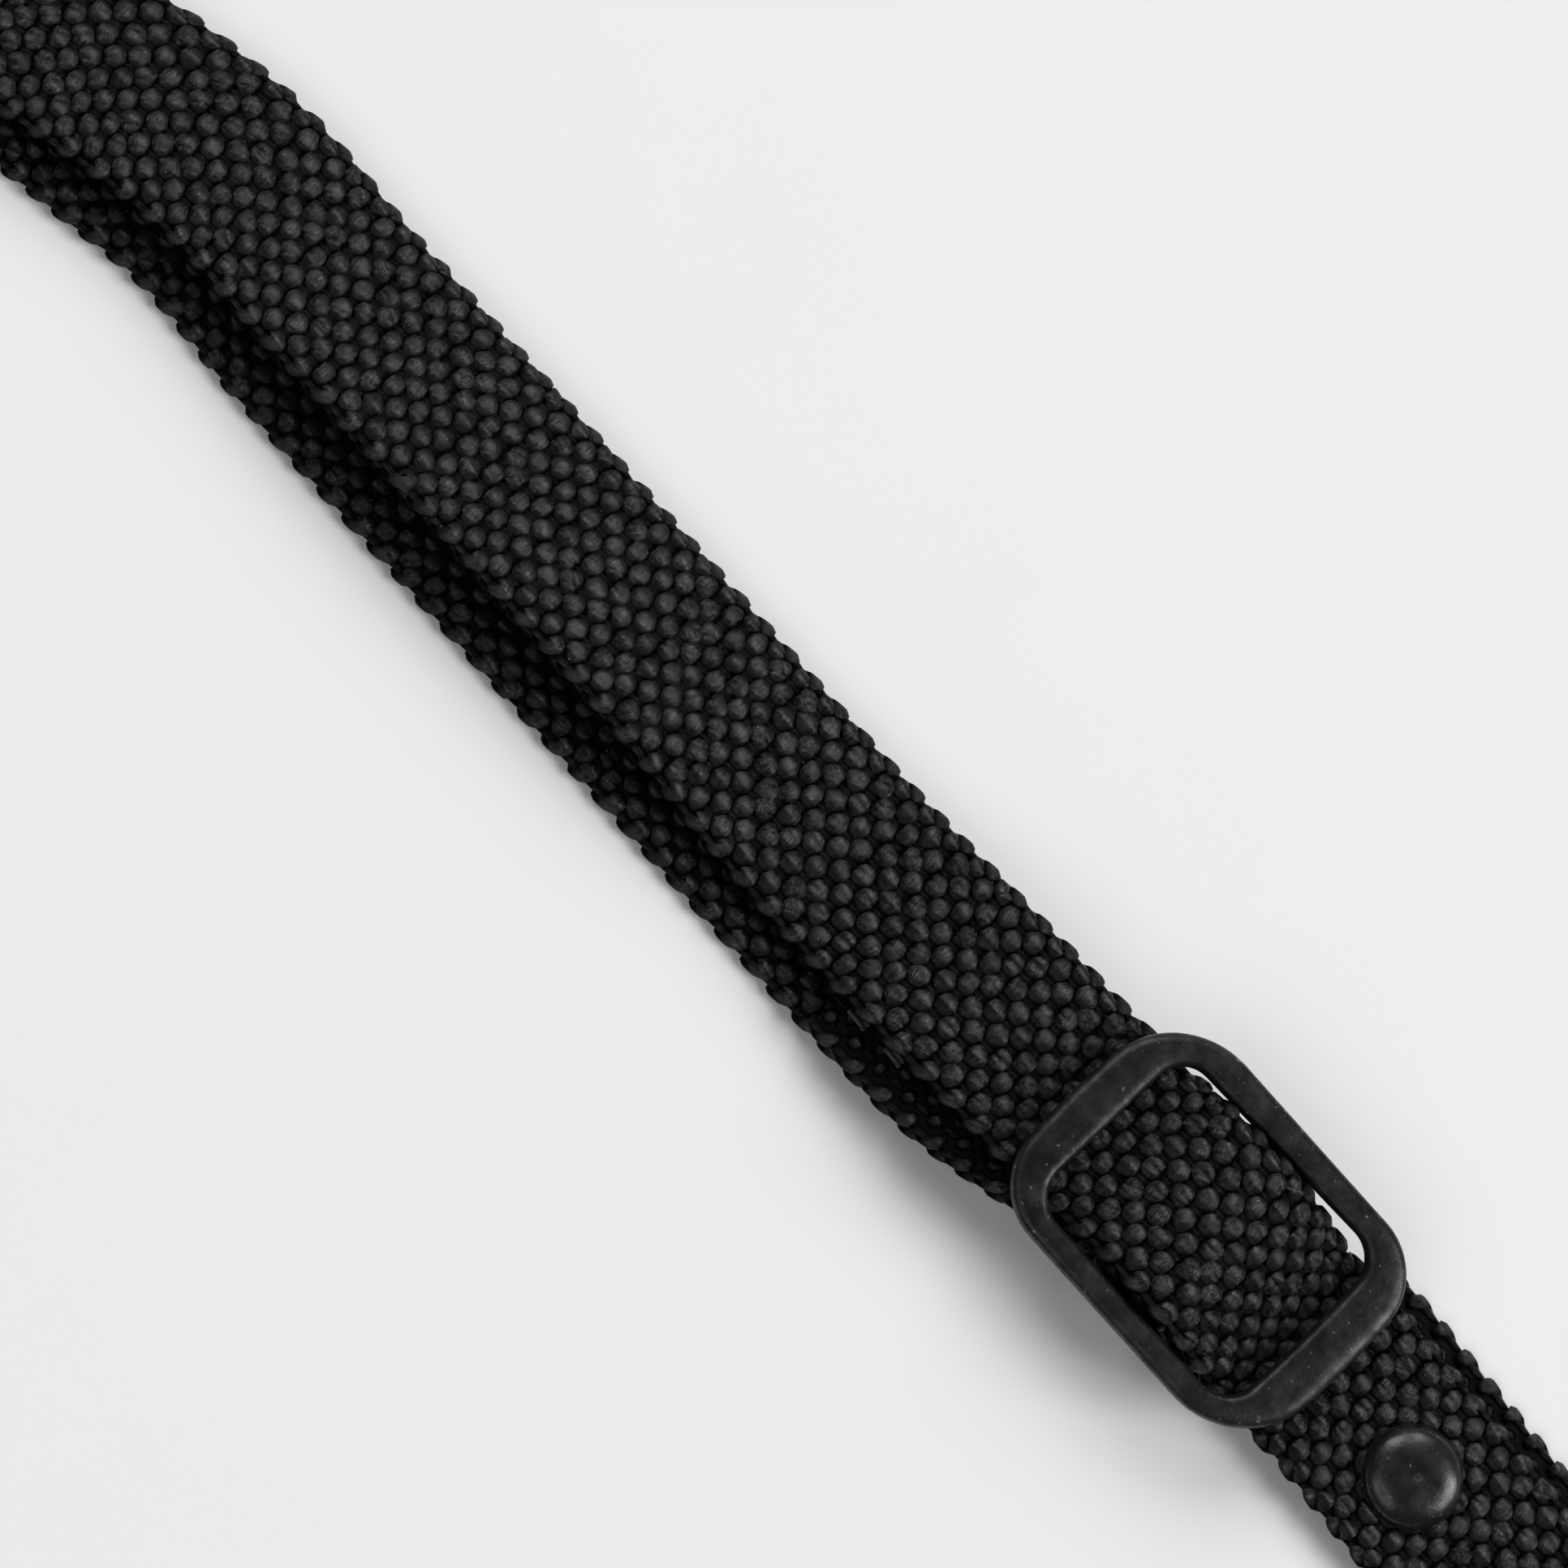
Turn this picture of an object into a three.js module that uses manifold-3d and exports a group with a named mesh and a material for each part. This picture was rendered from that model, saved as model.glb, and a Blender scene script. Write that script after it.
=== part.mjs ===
// Guitar strap: 20 mm webbing with a tri-glide slide, a riveted end and two leather button tabs.
// Millimetres, +Z up.  The floor is z = 0, +X runs from the slide towards tab A, and the origin is
// on the floor under the slide.  The strap lies as a long hairpin: a straight leg along X, a turn in
// which the webbing stands on its edge, and a return leg that ends in the ring and tab B.

import * as THREE from 'three';
import { mergeVertices } from 'three/addons/utils/BufferGeometryUtils.js';
import Module from 'manifold-3d';

const wasm = await Module();
wasm.setup();

// ---------------------------------------------------------------- driving dimensions
const WEBBING_WIDTH = 20;
const WEBBING_THICKNESS = 1.8;
const GAP = 0.3; // running gap between layers that touch on the real strap
const LAYER = WEBBING_THICKNESS + GAP; // height of one webbing layer in a stack
const MID = WEBBING_THICKNESS / 2;

const STRAIGHT = 126; // from the slide's centre bar to the start of the turn
const EASE_RADIUS = 135; // the turn eases in and out on this radius
const EASE_ANGLE = 35;
const TURN_RADIUS = 66;
const EDGE_Y = 6.1; // the strap's right-hand edge on the straight leg
const SEAM = 172; // distance from the slide where the near and far webbing pieces meet

// The slide: its window, from the far bar to the near bar, and the bars round it.
const FRAME_WINDOW = { far: 14.5, near: 13.9, width: 21.5, corner: 2.2, taper: 0.7 };
const FRAME_BARS = { far: 4.8, near: 5.2, side: 2.9 };
const FRAME_CORNER = { radius: 9.0, bow: 0.8 };
const FRAME_THICKNESS = 2.2;
const FRAME_Y = -2.7;
const FRAME_HEIGHT = 7.65; // underside of the frame above the centre bar
const FRAME_TILT = 3.5; // degrees, far end up
const FRAME_YAW = 0.6;
const CENTRE_BAR = { width: 4.4, thickness: 1.8, drop: 1.8 };
const BAR_ROOT = { reach: 3.2, overlap: 0.3, top: 1.2 }; // where the centre bar meets the sides

const RIVET = { x: 32.1, y: -3.2, cap: 5.1, head: 4.5, shank: 1.7 };
const FOLD_A_X = 66; // axis of the webbing's fold through tab A
const FOLD_A_RADIUS = 4.0;
const END_SLANT = 0.045; // sideways run of the end stretch, per millimetre
const RING = { x: 64, wire: 1.5, spacing: 16, innerWidth: 23 };
const RING_HEIGHT = RING.wire + GAP + WEBBING_THICKNESS;
const TAB = { thickness: 1.7, lining: 1.1, tip: 15, hole: 4.5, slit: 1.0, slitLength: 10 };
const ROLL = { lifted: 13.5, eased: 6.5, upright: 88 }; // degrees, of the strands on their way out
const FOLDED_LEATHER = 1.8; // thickness of tab B's leather, which folds round the ring

const UP = new THREE.Vector3(0, 0, 1);

// ---------------------------------------------------------------- materials
function finish(color, roughness, metalness) {
  return new THREE.MeshStandardMaterial({ color, roughness, metalness });
}
const webbingBlack = finish(0x0d0d0f, 0.85, 0);
const threadBlack = finish(0x131315, 0.7, 0);
const paintBlack = finish(0x17171a, 0.42, 0.3);
const rivetBlack = finish(0x1b1b1e, 0.3, 0.6);
const leatherBlack = finish(0x141312, 0.55, 0);
const liningBlack = finish(0x1a1817, 0.8, 0);

// ---------------------------------------------------------------- small maths
const radians = THREE.MathUtils.degToRad;

function smooth(value, from, to) {
  return THREE.MathUtils.smoothstep(value, from, to);
}

// ---------------------------------------------------------------- the strap's way over the floor
// Plan of the strap's right-hand edge, walked from the slide towards -X: straight, three arcs that
// turn left through 180 degrees, then straight back.
const TURN = [
  { radius: EASE_RADIUS, angle: radians(EASE_ANGLE) },
  { radius: TURN_RADIUS, angle: radians(180 - 2 * EASE_ANGLE) },
  { radius: EASE_RADIUS, angle: radians(EASE_ANGLE) },
];
const TURN_LENGTH = TURN.reduce((sum, arc) => sum + arc.radius * arc.angle, 0);
const RING_AT = STRAIGHT + TURN_LENGTH + STRAIGHT + RING.x;

function planAt(distance) {
  let heading = Math.PI;
  const first = Math.min(distance, STRAIGHT);
  const at = new THREE.Vector2(-first, EDGE_Y);
  let left = distance - first;
  for (const arc of TURN) {
    const turned = Math.min(left / arc.radius, arc.angle);
    at.x += arc.radius * (Math.sin(heading + turned) - Math.sin(heading));
    at.y -= arc.radius * (Math.cos(heading + turned) - Math.cos(heading));
    heading += turned;
    left -= turned * arc.radius;
  }
  at.x += left * Math.cos(heading);
  at.y += left * Math.sin(heading);
  return { at, leftward: new THREE.Vector3(-Math.sin(heading), Math.cos(heading), 0) };
}

// The right-hand edge drifts out where the webbing passes through the slide, again beyond it and
// where it starts to roll up for the turn, and the end stretch runs a little askew.
function edgeDrift(distance) {
  const inSlide = 1.0 * (1 - smooth(distance, 4, 36)) + 0.8 * (1 - smooth(distance, -22, -12));
  const inTurn = 1.5 * (smooth(distance, 124, 146) - smooth(distance, 300, 360));
  return inSlide + inTurn - END_SLANT * Math.max(-distance - 18, 0);
}

// Roll about the strap's own length: 0 lies flat, 90 stands on the right-hand edge.
function lowerRoll(distance) {
  return radians(ROLL.upright) * (smooth(distance, 172, 232) - smooth(distance, 312, 372));
}

function upperRoll(distance) {
  const lifted = ROLL.lifted * smooth(distance, 42, 84) - ROLL.eased * smooth(distance, 112, 146);
  const rest = ROLL.upright - ROLL.lifted + ROLL.eased;
  const standing = rest * smooth(distance, 168, 225) - ROLL.upright * smooth(distance, 320, 380);
  return radians(lifted + standing);
}

// How far the lower strand lies to the left of the upper one.
function lowerOffset(distance) {
  return 4.1 * smooth(distance, 1, 30) * (1 - smooth(distance, 150, 200));
}

// One cross-section of a strand.  height is its middle above the floor before it rolls.
function sectionAt(distance, height, roll, offset, thickness, width) {
  const { at, leftward } = planAt(distance);
  const base = lowerRoll(distance);
  const stackUp = UP.clone().multiplyScalar(Math.cos(base));
  stackUp.addScaledVector(leftward, -Math.sin(base));
  const across = leftward.clone().multiplyScalar(Math.cos(roll));
  across.addScaledVector(UP, Math.sin(roll));
  const lift = UP.clone().multiplyScalar(Math.cos(roll));
  lift.addScaledVector(leftward, -Math.sin(roll));
  const centre = new THREE.Vector3(at.x, at.y, 0);
  centre.addScaledVector(leftward, offset - edgeDrift(distance));
  centre.addScaledVector(stackUp, height - thickness / 2);
  centre.addScaledVector(across, width / 2);
  centre.addScaledVector(lift, thickness / 2);
  return { centre, across };
}

// ---------------------------------------------------------------- side views of the strands
// Points are (distance from the centre bar towards the far end, height of the webbing's middle).
function spline(points, step = 4) {
  const curve = new THREE.CatmullRomCurve3(points.map(([d, h]) => new THREE.Vector3(d, h, 0)));
  curve.curveType = 'centripetal';
  const count = Math.max(2, Math.ceil(curve.getLength() / step));
  return curve.getSpacedPoints(count).map((p) => [p.x, Math.max(p.y, MID)]); // never under the floor
}

function arc(centre, radius, from, to, steps) {
  const points = [];
  for (let i = 0; i <= steps; i++) {
    const angle = radians(from + ((to - from) * i) / steps);
    points.push([centre[0] + radius * Math.cos(angle), centre[1] + radius * Math.sin(angle)]);
  }
  return points;
}

function joined(...stretches) {
  const all = [stretches[0][0]];
  for (const [d, h] of stretches.flat()) {
    const [lastD, lastH] = all[all.length - 1];
    if (Math.hypot(d - lastD, h - lastH) > 0.3) all.push([d, h]);
  }
  return all;
}

const BAR_MIDDLE = FRAME_HEIGHT - CENTRE_BAR.drop + CENTRE_BAR.thickness / 2;
const WRAP_RADIUS = CENTRE_BAR.thickness / 2 + GAP + MID;
const WRAP_CENTRE = [-(CENTRE_BAR.width - CENTRE_BAR.thickness) / 2, BAR_MIDDLE];

// The running strand: low under the near bar, over the centre bar, under the far bar and away.
const upperNear = spline(
  [[-17, 5.1], [-14, 5.12], [-11.5, 5.7], [-8, 7.9], [-4, 10.25], [-0.5, 11.0], [4, 10.75],
    [8, 9.5], [11.5, 8.0], [14.5, 7.28], [19, 7.25], [24, 7.4], [30, 7.5], [36, 6.8], [42, 5.6],
    [50, 4.0], [60, 3.1], [72, MID + LAYER], [110, MID + LAYER], [SEAM - GAP, MID + LAYER]], 3);

// The fixed loop: a leg on the floor rises under the centre bar, wraps it, and its tail comes back.
const TAIL_END = 41;
const loopTail = spline(
  [[TAIL_END, 3.45], [36, 4.0], [28, 5.1], [16, 5.1], [13, 5.2], [9.5, 6.3], [5, 8.2],
    [1.5, BAR_MIDDLE + WRAP_RADIUS], [WRAP_CENTRE[0], BAR_MIDDLE + WRAP_RADIUS]], 3);
const loopLeg = spline(
  [[WRAP_CENTRE[0], BAR_MIDDLE - WRAP_RADIUS], [2, 4.5], [6, 3.6], [10, 3.05], [16, 3.0],
    [28, 3.0], [36, 1.9], [46, MID], [60, MID], [110, MID], [SEAM - GAP, MID]], 3);
const lowerNear = joined(loopTail, arc(WRAP_CENTRE, WRAP_RADIUS, 90, 270, 8), loopLeg);

// Both strands carry on to the ring, where the upper one turns round it and becomes the lower.
const ringTurn = arc([RING_AT, RING_HEIGHT], RING.wire + GAP + MID, 90, -90, 8);
const farStrands = joined(
  spline([[SEAM + GAP, MID + LAYER], [RING_AT - 60, MID + LAYER], [RING_AT - 26, 3.2],
    [RING_AT - 8, 5.9], ringTurn[0]], 5),
  ringTurn,
  spline([[RING_AT, MID], [RING_AT - 60, MID], [SEAM + GAP, MID]], 5));

// The end stretch: flat under the slide, over its own tail, through tab A and back under itself.
const foldTop = 2 * FOLD_A_RADIUS + MID;
const endTurn = arc([-FOLD_A_X, FOLD_A_RADIUS + MID], FOLD_A_RADIUS, 90, 270, 10);
const END_TAIL_SHIFT = -2.6; // the tail lies a little to the right of the layer above it
const endStretch = joined(
  spline([[28, MID], [10, MID], [-3, MID], [-9, 1.75], [-15, MID + LAYER], [-22, MID + LAYER],
    [-48, MID + LAYER], [-56, 5.2], [-62, 8.1], [-FOLD_A_X, foldTop]], 4),
  endTurn,
  spline([[-FOLD_A_X, MID], [-40, MID], [-16, MID]], 6));

// ---------------------------------------------------------------- sweeping
const CORNERS = [[-1, -1], [1, -1], [1, 1], [-1, 1]];

// A closed body from a run of four-cornered sections.
function sweep(sections) {
  const positions = sections.flatMap((corners) => corners.flatMap((p) => p.toArray()));
  const index = [];
  for (let i = 0; i + 1 < sections.length; i++) {
    for (let k = 0; k < 4; k++) {
      const a = 4 * i + k;
      const b = 4 * i + ((k + 1) % 4);
      index.push(a, b, b + 4, a, b + 4, a + 4);
    }
  }
  const last = 4 * (sections.length - 1);
  index.push(0, 2, 1, 0, 3, 2, last, last + 1, last + 2, last, last + 2, last + 3);
  return facingOut(positions, index);
}

// A geometry whose faces are turned over if they point inwards.
function facingOut(positions, index) {
  const point = (i) => new THREE.Vector3().fromArray(positions, 3 * index[i]);
  let volume = 0;
  for (let i = 0; i < index.length; i += 3) {
    volume += point(i).dot(point(i + 1).cross(point(i + 2)));
  }
  const geometry = new THREE.BufferGeometry();
  geometry.setAttribute('position', new THREE.Float32BufferAttribute(positions, 3));
  geometry.setIndex(volume < 0 ? index.toReversed() : index);
  return geometry;
}

// A run of webbing.  roll and offset are functions of (distance, index along the run).
function ribbon(points, { roll, offset, width = WEBBING_WIDTH, thickness = WEBBING_THICKNESS }) {
  const stations = points.map(([distance, height], i) =>
    sectionAt(distance, height, roll(distance, i), offset(distance, i), thickness, width));
  const sections = stations.map(({ centre, across }, i) => {
    const before = stations[Math.max(i - 1, 0)].centre;
    const after = stations[Math.min(i + 1, stations.length - 1)].centre;
    const face = after.clone().sub(before).normalize().cross(across).normalize();
    return CORNERS.map(([side, level]) =>
      centre.clone().addScaledVector(across, (side * width) / 2)
        .addScaledVector(face, (level * thickness) / 2));
  });
  return sweep(sections);
}

// ---------------------------------------------------------------- solids
function solid(geometry) {
  const bare = new THREE.BufferGeometry();
  bare.setAttribute('position', geometry.attributes.position);
  bare.setIndex(geometry.index);
  const merged = mergeVertices(bare, 1e-4);
  return new wasm.Manifold(new wasm.Mesh({
    numProp: 3,
    vertProperties: new Float32Array(merged.attributes.position.array),
    triVerts: new Uint32Array(merged.index.array),
  }));
}

function geometryOf(manifold) {
  const mesh = manifold.getMesh();
  const geometry = new THREE.BufferGeometry();
  geometry.setAttribute('position', new THREE.Float32BufferAttribute(mesh.vertProperties, 3));
  geometry.setIndex(new THREE.Uint32BufferAttribute(mesh.triVerts, 1));
  return geometry;
}

function drill(radius, low, high, x, y, segments = 16) {
  const tool = new THREE.CylinderGeometry(radius, radius, high - low, segments);
  tool.rotateX(Math.PI / 2);
  tool.translate(x, y, (low + high) / 2);
  return solid(tool);
}

function block(x0, x1, y0, y1, z0, z1) {
  const box = new THREE.BoxGeometry(x1 - x0, y1 - y0, z1 - z0);
  box.translate((x0 + x1) / 2, (y0 + y1) / 2, (z0 + z1) / 2);
  return solid(box);
}

function named(name, geometry, material) {
  const mesh = new THREE.Mesh(geometry, material);
  mesh.name = name;
  return mesh;
}

// A turned part about a vertical axis from (radius, height) points.
function turned(points, segments = 24) {
  const lathe = new THREE.LatheGeometry(points.map(([r, z]) => new THREE.Vector2(r, z)), segments);
  lathe.rotateX(Math.PI / 2);
  return lathe;
}

// ---------------------------------------------------------------- webbing
const none = () => 0;

function webbingEnd() {
  const turnPoint = endStretch.findIndex(([d]) => d <= -FOLD_A_X - FOLD_A_RADIUS + 0.5);
  const shift = (distance, i) => END_TAIL_SHIFT * smooth(i, turnPoint - 4, turnPoint + 5);
  const body = solid(ribbon(endStretch, { roll: none, offset: shift }));
  const shank = drill(RIVET.shank + GAP, -1, 6, RIVET.x, RIVET.y);
  const recess = drill(RIVET.head + GAP, -1, 0.8, RIVET.x, RIVET.y, 20);
  return named('webbing_end', geometryOf(body.subtract(shank).subtract(recess)), webbingBlack);
}

function webbingUpper() {
  return named('webbing_upper', ribbon(upperNear, { roll: upperRoll, offset: none }), webbingBlack);
}

function webbingLower() {
  const geometry = ribbon(lowerNear, { roll: lowerRoll, offset: lowerOffset });
  return named('webbing_lower', geometry, webbingBlack);
}

// The far piece follows the upper strand's roll out to the ring and the lower strand's roll back.
function webbingFar() {
  const turnPoint = farStrands.findIndex(([d]) => d > RING_AT);
  const geometry = ribbon(farStrands, {
    roll: (distance, i) => (i <= turnPoint ? upperRoll(distance) : lowerRoll(distance)),
    offset: (distance, i) => (i <= turnPoint ? 0 : lowerOffset(distance)),
  });
  return named('webbing_far', geometry, webbingBlack);
}

// ---------------------------------------------------------------- rivets
function rivetCap(name, x, y, seat, radius) {
  const crown = 1.9 * (radius / RIVET.cap);
  const cap = turned([[0, -0.9], [0.8, -0.9], [0.8, 0.15], [radius - 0.6, 0.15], [radius - 0.4, 0],
    [radius, 0.2], [radius * 0.97, crown * 0.45], [radius * 0.8, crown * 0.8],
    [radius * 0.45, crown * 0.97], [0, crown]]);
  cap.translate(x, y, seat);
  return named(name, cap, rivetBlack);
}

function rivetPost(name, x, y, top, headRadius) {
  const { shank } = RIVET;
  const post = turned([[0, 0], [headRadius, 0], [headRadius, 0.45], [shank, 0.5], [shank, top],
    [1.1, top], [1.1, top - 1.4], [0, top - 1.4]]);
  post.translate(x, y, 0);
  return named(name, post, rivetBlack);
}

function endRivet() {
  const seat = MID + LAYER + MID + 0.1; // on top of two layers
  const group = new THREE.Group();
  group.add(rivetCap('end_rivet_cap', RIVET.x, RIVET.y, seat, RIVET.cap));
  group.add(rivetPost('end_rivet_post', RIVET.x, RIVET.y, seat - 0.2, RIVET.head));
  return group;
}

// ---------------------------------------------------------------- slide
function frameOutline() {
  const { far, near, width, corner, taper } = FRAME_WINDOW;
  const { radius, bow } = FRAME_CORNER;
  const x0 = -far - FRAME_BARS.far;
  const x1 = near + FRAME_BARS.near;
  const y = width / 2 + FRAME_BARS.side;
  const shape = new THREE.Shape();
  shape.moveTo(x0 + radius, -y);
  shape.lineTo(x1 - radius, -y);
  shape.quadraticCurveTo(x1 - bow, -y, x1 - bow, -y + radius);
  shape.quadraticCurveTo(x1 + bow, 0, x1 - bow, y - radius);
  shape.quadraticCurveTo(x1 - bow, y, x1 - radius, y);
  shape.lineTo(x0 + radius, y);
  shape.quadraticCurveTo(x0 + bow, y, x0 + bow, y - radius);
  shape.quadraticCurveTo(x0 - bow, 0, x0 + bow, -y + radius);
  shape.quadraticCurveTo(x0 + bow, -y, x0 + radius, -y);
  const hole = new THREE.Path();
  const low = -width / 2;
  const high = width / 2;
  const farHigh = high - taper; // the window is a little narrower at the far bar
  hole.moveTo(-far + corner, low);
  hole.lineTo(near - corner, low);
  hole.quadraticCurveTo(near, low, near, low + corner);
  hole.lineTo(near, high - corner);
  hole.quadraticCurveTo(near, high, near - corner, high);
  hole.lineTo(-far + corner, farHigh);
  hole.quadraticCurveTo(-far, farHigh, -far, farHigh - corner);
  hole.lineTo(-far, low + corner);
  hole.quadraticCurveTo(-far, low, -far + corner, low);
  shape.holes.push(hole);
  return shape;
}

// A flat bar with rounded edges, which blocks at both ends join to the sides of the window.
function centreBar() {
  const reach = (FRAME_WINDOW.width + FRAME_BARS.side) / 2;
  const { width, thickness, drop } = CENTRE_BAR;
  const flatHalf = (width - thickness) / 2;
  const edge = new THREE.CylinderGeometry(thickness / 2, thickness / 2, 2 * reach, 10);
  edge.translate(flatHalf, 0, thickness / 2 - drop);
  let bar = block(-flatHalf, flatHalf, -reach, reach, -drop, thickness - drop);
  bar = bar.add(solid(edge.clone()));
  edge.translate(-2 * flatHalf, 0, 0);
  bar = bar.add(solid(edge));
  const inner = FRAME_WINDOW.width / 2 - BAR_ROOT.overlap;
  const outer = reach + BAR_ROOT.overlap;
  for (const [low, high] of [[inner, outer], [-outer, -inner]]) {
    bar = bar.add(block(-BAR_ROOT.reach, BAR_ROOT.reach, low, high, -drop, BAR_ROOT.top));
  }
  return bar;
}

function slideFrame() {
  const bevel = 0.6;
  const plate = new THREE.ExtrudeGeometry(frameOutline(), {
    depth: FRAME_THICKNESS - 2 * bevel, curveSegments: 5,
    bevelThickness: bevel, bevelSize: bevel, bevelOffset: -bevel, bevelSegments: 2,
  });
  plate.translate(0, 0, bevel);
  const body = solid(toIndexed(plate)).add(centreBar());
  const mesh = named('slide_frame', geometryOf(body), paintBlack);
  mesh.position.set(0, FRAME_Y, FRAME_HEIGHT);
  mesh.rotation.set(0, radians(FRAME_TILT), radians(FRAME_YAW), 'ZYX');
  return mesh;
}

function toIndexed(geometry) {
  const bare = new THREE.BufferGeometry();
  bare.setAttribute('position', geometry.attributes.position);
  return mergeVertices(bare, 1e-4);
}

// Two bars of dense stitching hold the loop's tail down to its leg.
const TACK = { from: [32, 37], reach: 2.2, width: 12, thickness: 0.35 };

function loopTack(name, from) {
  const heightAt = (distance) => {
    const next = loopTail.findIndex(([d]) => d < distance);
    const [d0, h0] = loopTail[next - 1];
    const [d1, h1] = loopTail[next];
    return h0 + ((distance - d0) * (h1 - h0)) / (d1 - d0);
  };
  const points = [0, TACK.reach / 2, TACK.reach].map((step) =>
    [from + step, heightAt(from + step) + MID + GAP]);
  const inset = (WEBBING_WIDTH - TACK.width) / 2;
  const offset = (distance) => lowerOffset(distance) + inset;
  const { width, thickness } = TACK;
  return named(name, ribbon(points, { roll: none, offset, width, thickness }), threadBlack);
}

// ---------------------------------------------------------------- leather
function extruded(shape, low, high, bevel = 0.3) {
  const geometry = new THREE.ExtrudeGeometry(shape, {
    depth: high - low - 2 * bevel, curveSegments: 8, bevelEnabled: bevel > 0,
    bevelThickness: bevel, bevelSize: bevel, bevelOffset: -bevel, bevelSegments: 1,
  });
  geometry.translate(0, 0, low + bevel);
  return geometry;
}

// Round hole for the strap button, with a slit that points back along the strap.
function buttonHole(x) {
  const { hole, slit, slitLength } = TAB;
  const start = Math.asin(slit / hole);
  const path = new THREE.Path();
  path.absarc(x, 0, hole, Math.PI - start, -Math.PI + start, true);
  path.lineTo(x - hole - slitLength, -slit);
  path.absarc(x - hole - slitLength, 0, slit, -Math.PI / 2, Math.PI / 2, true);
  path.lineTo(x - hole * Math.cos(start), slit);
  return path;
}

const TAB_A = { length: 104, halfWidth: 15, strip: 2.4, slotEnd: 7.6, slotHalf: 12, centreY: -4.0 };
const BUTTON_FROM_TIP = 17;
const LINING_INSET = 0.6;

function tabAOutline(inset) {
  const { length, strip, slotEnd, slotHalf } = TAB_A;
  const half = TAB_A.halfWidth - inset;
  const tip = TAB.tip - inset;
  const end = -strip + inset * 0.2;
  const shape = new THREE.Shape();
  shape.moveTo(end, -half);
  shape.lineTo(length - TAB.tip, -tip);
  shape.absarc(length - TAB.tip, 0, tip, -Math.PI / 2, Math.PI / 2, false);
  shape.lineTo(end, half);
  shape.lineTo(end, -half);
  const slot = new THREE.Path();
  slot.moveTo(strip, -slotHalf);
  slot.lineTo(slotEnd, -slotHalf);
  slot.lineTo(slotEnd, slotHalf);
  slot.lineTo(strip, slotHalf);
  slot.lineTo(strip, -slotHalf);
  shape.holes.push(slot, buttonHole(length - BUTTON_FROM_TIP));
  return shape;
}

function tabA() {
  const stack = TAB.thickness + TAB.lining + GAP;
  const low = -stack / 2;
  const group = new THREE.Group();
  const lining = extruded(tabAOutline(LINING_INSET), low, low + TAB.lining);
  const leather = extruded(tabAOutline(0), stack / 2 - TAB.thickness, stack / 2);
  group.add(named('tab_a_lining', lining, liningBlack));
  group.add(named('tab_a_leather', leather, leatherBlack));
  const axisHeight = FOLD_A_RADIUS + MID;
  group.position.set(FOLD_A_X, TAB_A.centreY, axisHeight);
  group.rotation.y = Math.asin((axisHeight - stack / 2 - 0.1) / TAB_A.length);
  return group;
}

const TAB_B = { length: 112, neckHalf: 10, flapEnd: 30, liningStart: 31, flatFrom: 17, wideFrom: 54 };
const WAIST = 40; // the neck's curved sides turn outwards here
const TAB_RIVETS = { x: 24, y: [-5, 5], cap: 3.6, head: 3.3 };

function tabBOutline(start, inset) {
  const { length, neckHalf } = TAB_B;
  const neck = neckHalf - inset;
  const tip = TAB.tip - inset;
  const shape = new THREE.Shape();
  shape.moveTo(start, -neck);
  if (start < TAB_B.liningStart) shape.lineTo(TAB_B.liningStart, -neck);
  shape.bezierCurveTo(WAIST, -neck, WAIST, -tip, TAB_B.wideFrom, -tip);
  shape.lineTo(length - TAB.tip, -tip);
  shape.absarc(length - TAB.tip, 0, tip, -Math.PI / 2, Math.PI / 2, false);
  shape.lineTo(TAB_B.wideFrom, tip);
  shape.bezierCurveTo(WAIST, tip, WAIST, neck, TAB_B.liningStart, neck);
  if (start < TAB_B.liningStart) shape.lineTo(start, neck);
  shape.lineTo(start, -neck);
  shape.holes.push(buttonHole(length - BUTTON_FROM_TIP));
  return shape;
}

// The leather folds round the ring's outer bar; its short flap is riveted under the long face.
function tabBFold() {
  const mid = FOLDED_LEATHER / 2;
  const radius = RING.wire + GAP + mid;
  const topMid = mid + FOLDED_LEATHER + GAP;
  const side = joined(
    spline([[TAB_B.flapEnd, mid], [15, mid], [0, mid]], 8),
    arc([0, RING_HEIGHT], radius, 270, 90, 10),
    spline([[0, RING_HEIGHT + radius], [4, 5.8], [9, 3.9], [14, topMid],
      [TAB_B.flatFrom + 1.5, topMid]], 3));
  const sections = side.map(([x, z], i) => {
    const [x0, z0] = side[Math.max(i - 1, 0)];
    const [x1, z1] = side[Math.min(i + 1, side.length - 1)];
    const length = Math.hypot(x1 - x0, z1 - z0);
    const face = new THREE.Vector3(-(z1 - z0) / length, 0, (x1 - x0) / length);
    return CORNERS.map(([across, level]) =>
      new THREE.Vector3(x, -across * TAB_B.neckHalf, z).addScaledVector(face, level * mid));
  });
  return sweep(sections);
}

function returnLegCentreY() {
  return planAt(RING_AT).at.y + WEBBING_WIDTH / 2;
}

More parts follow.
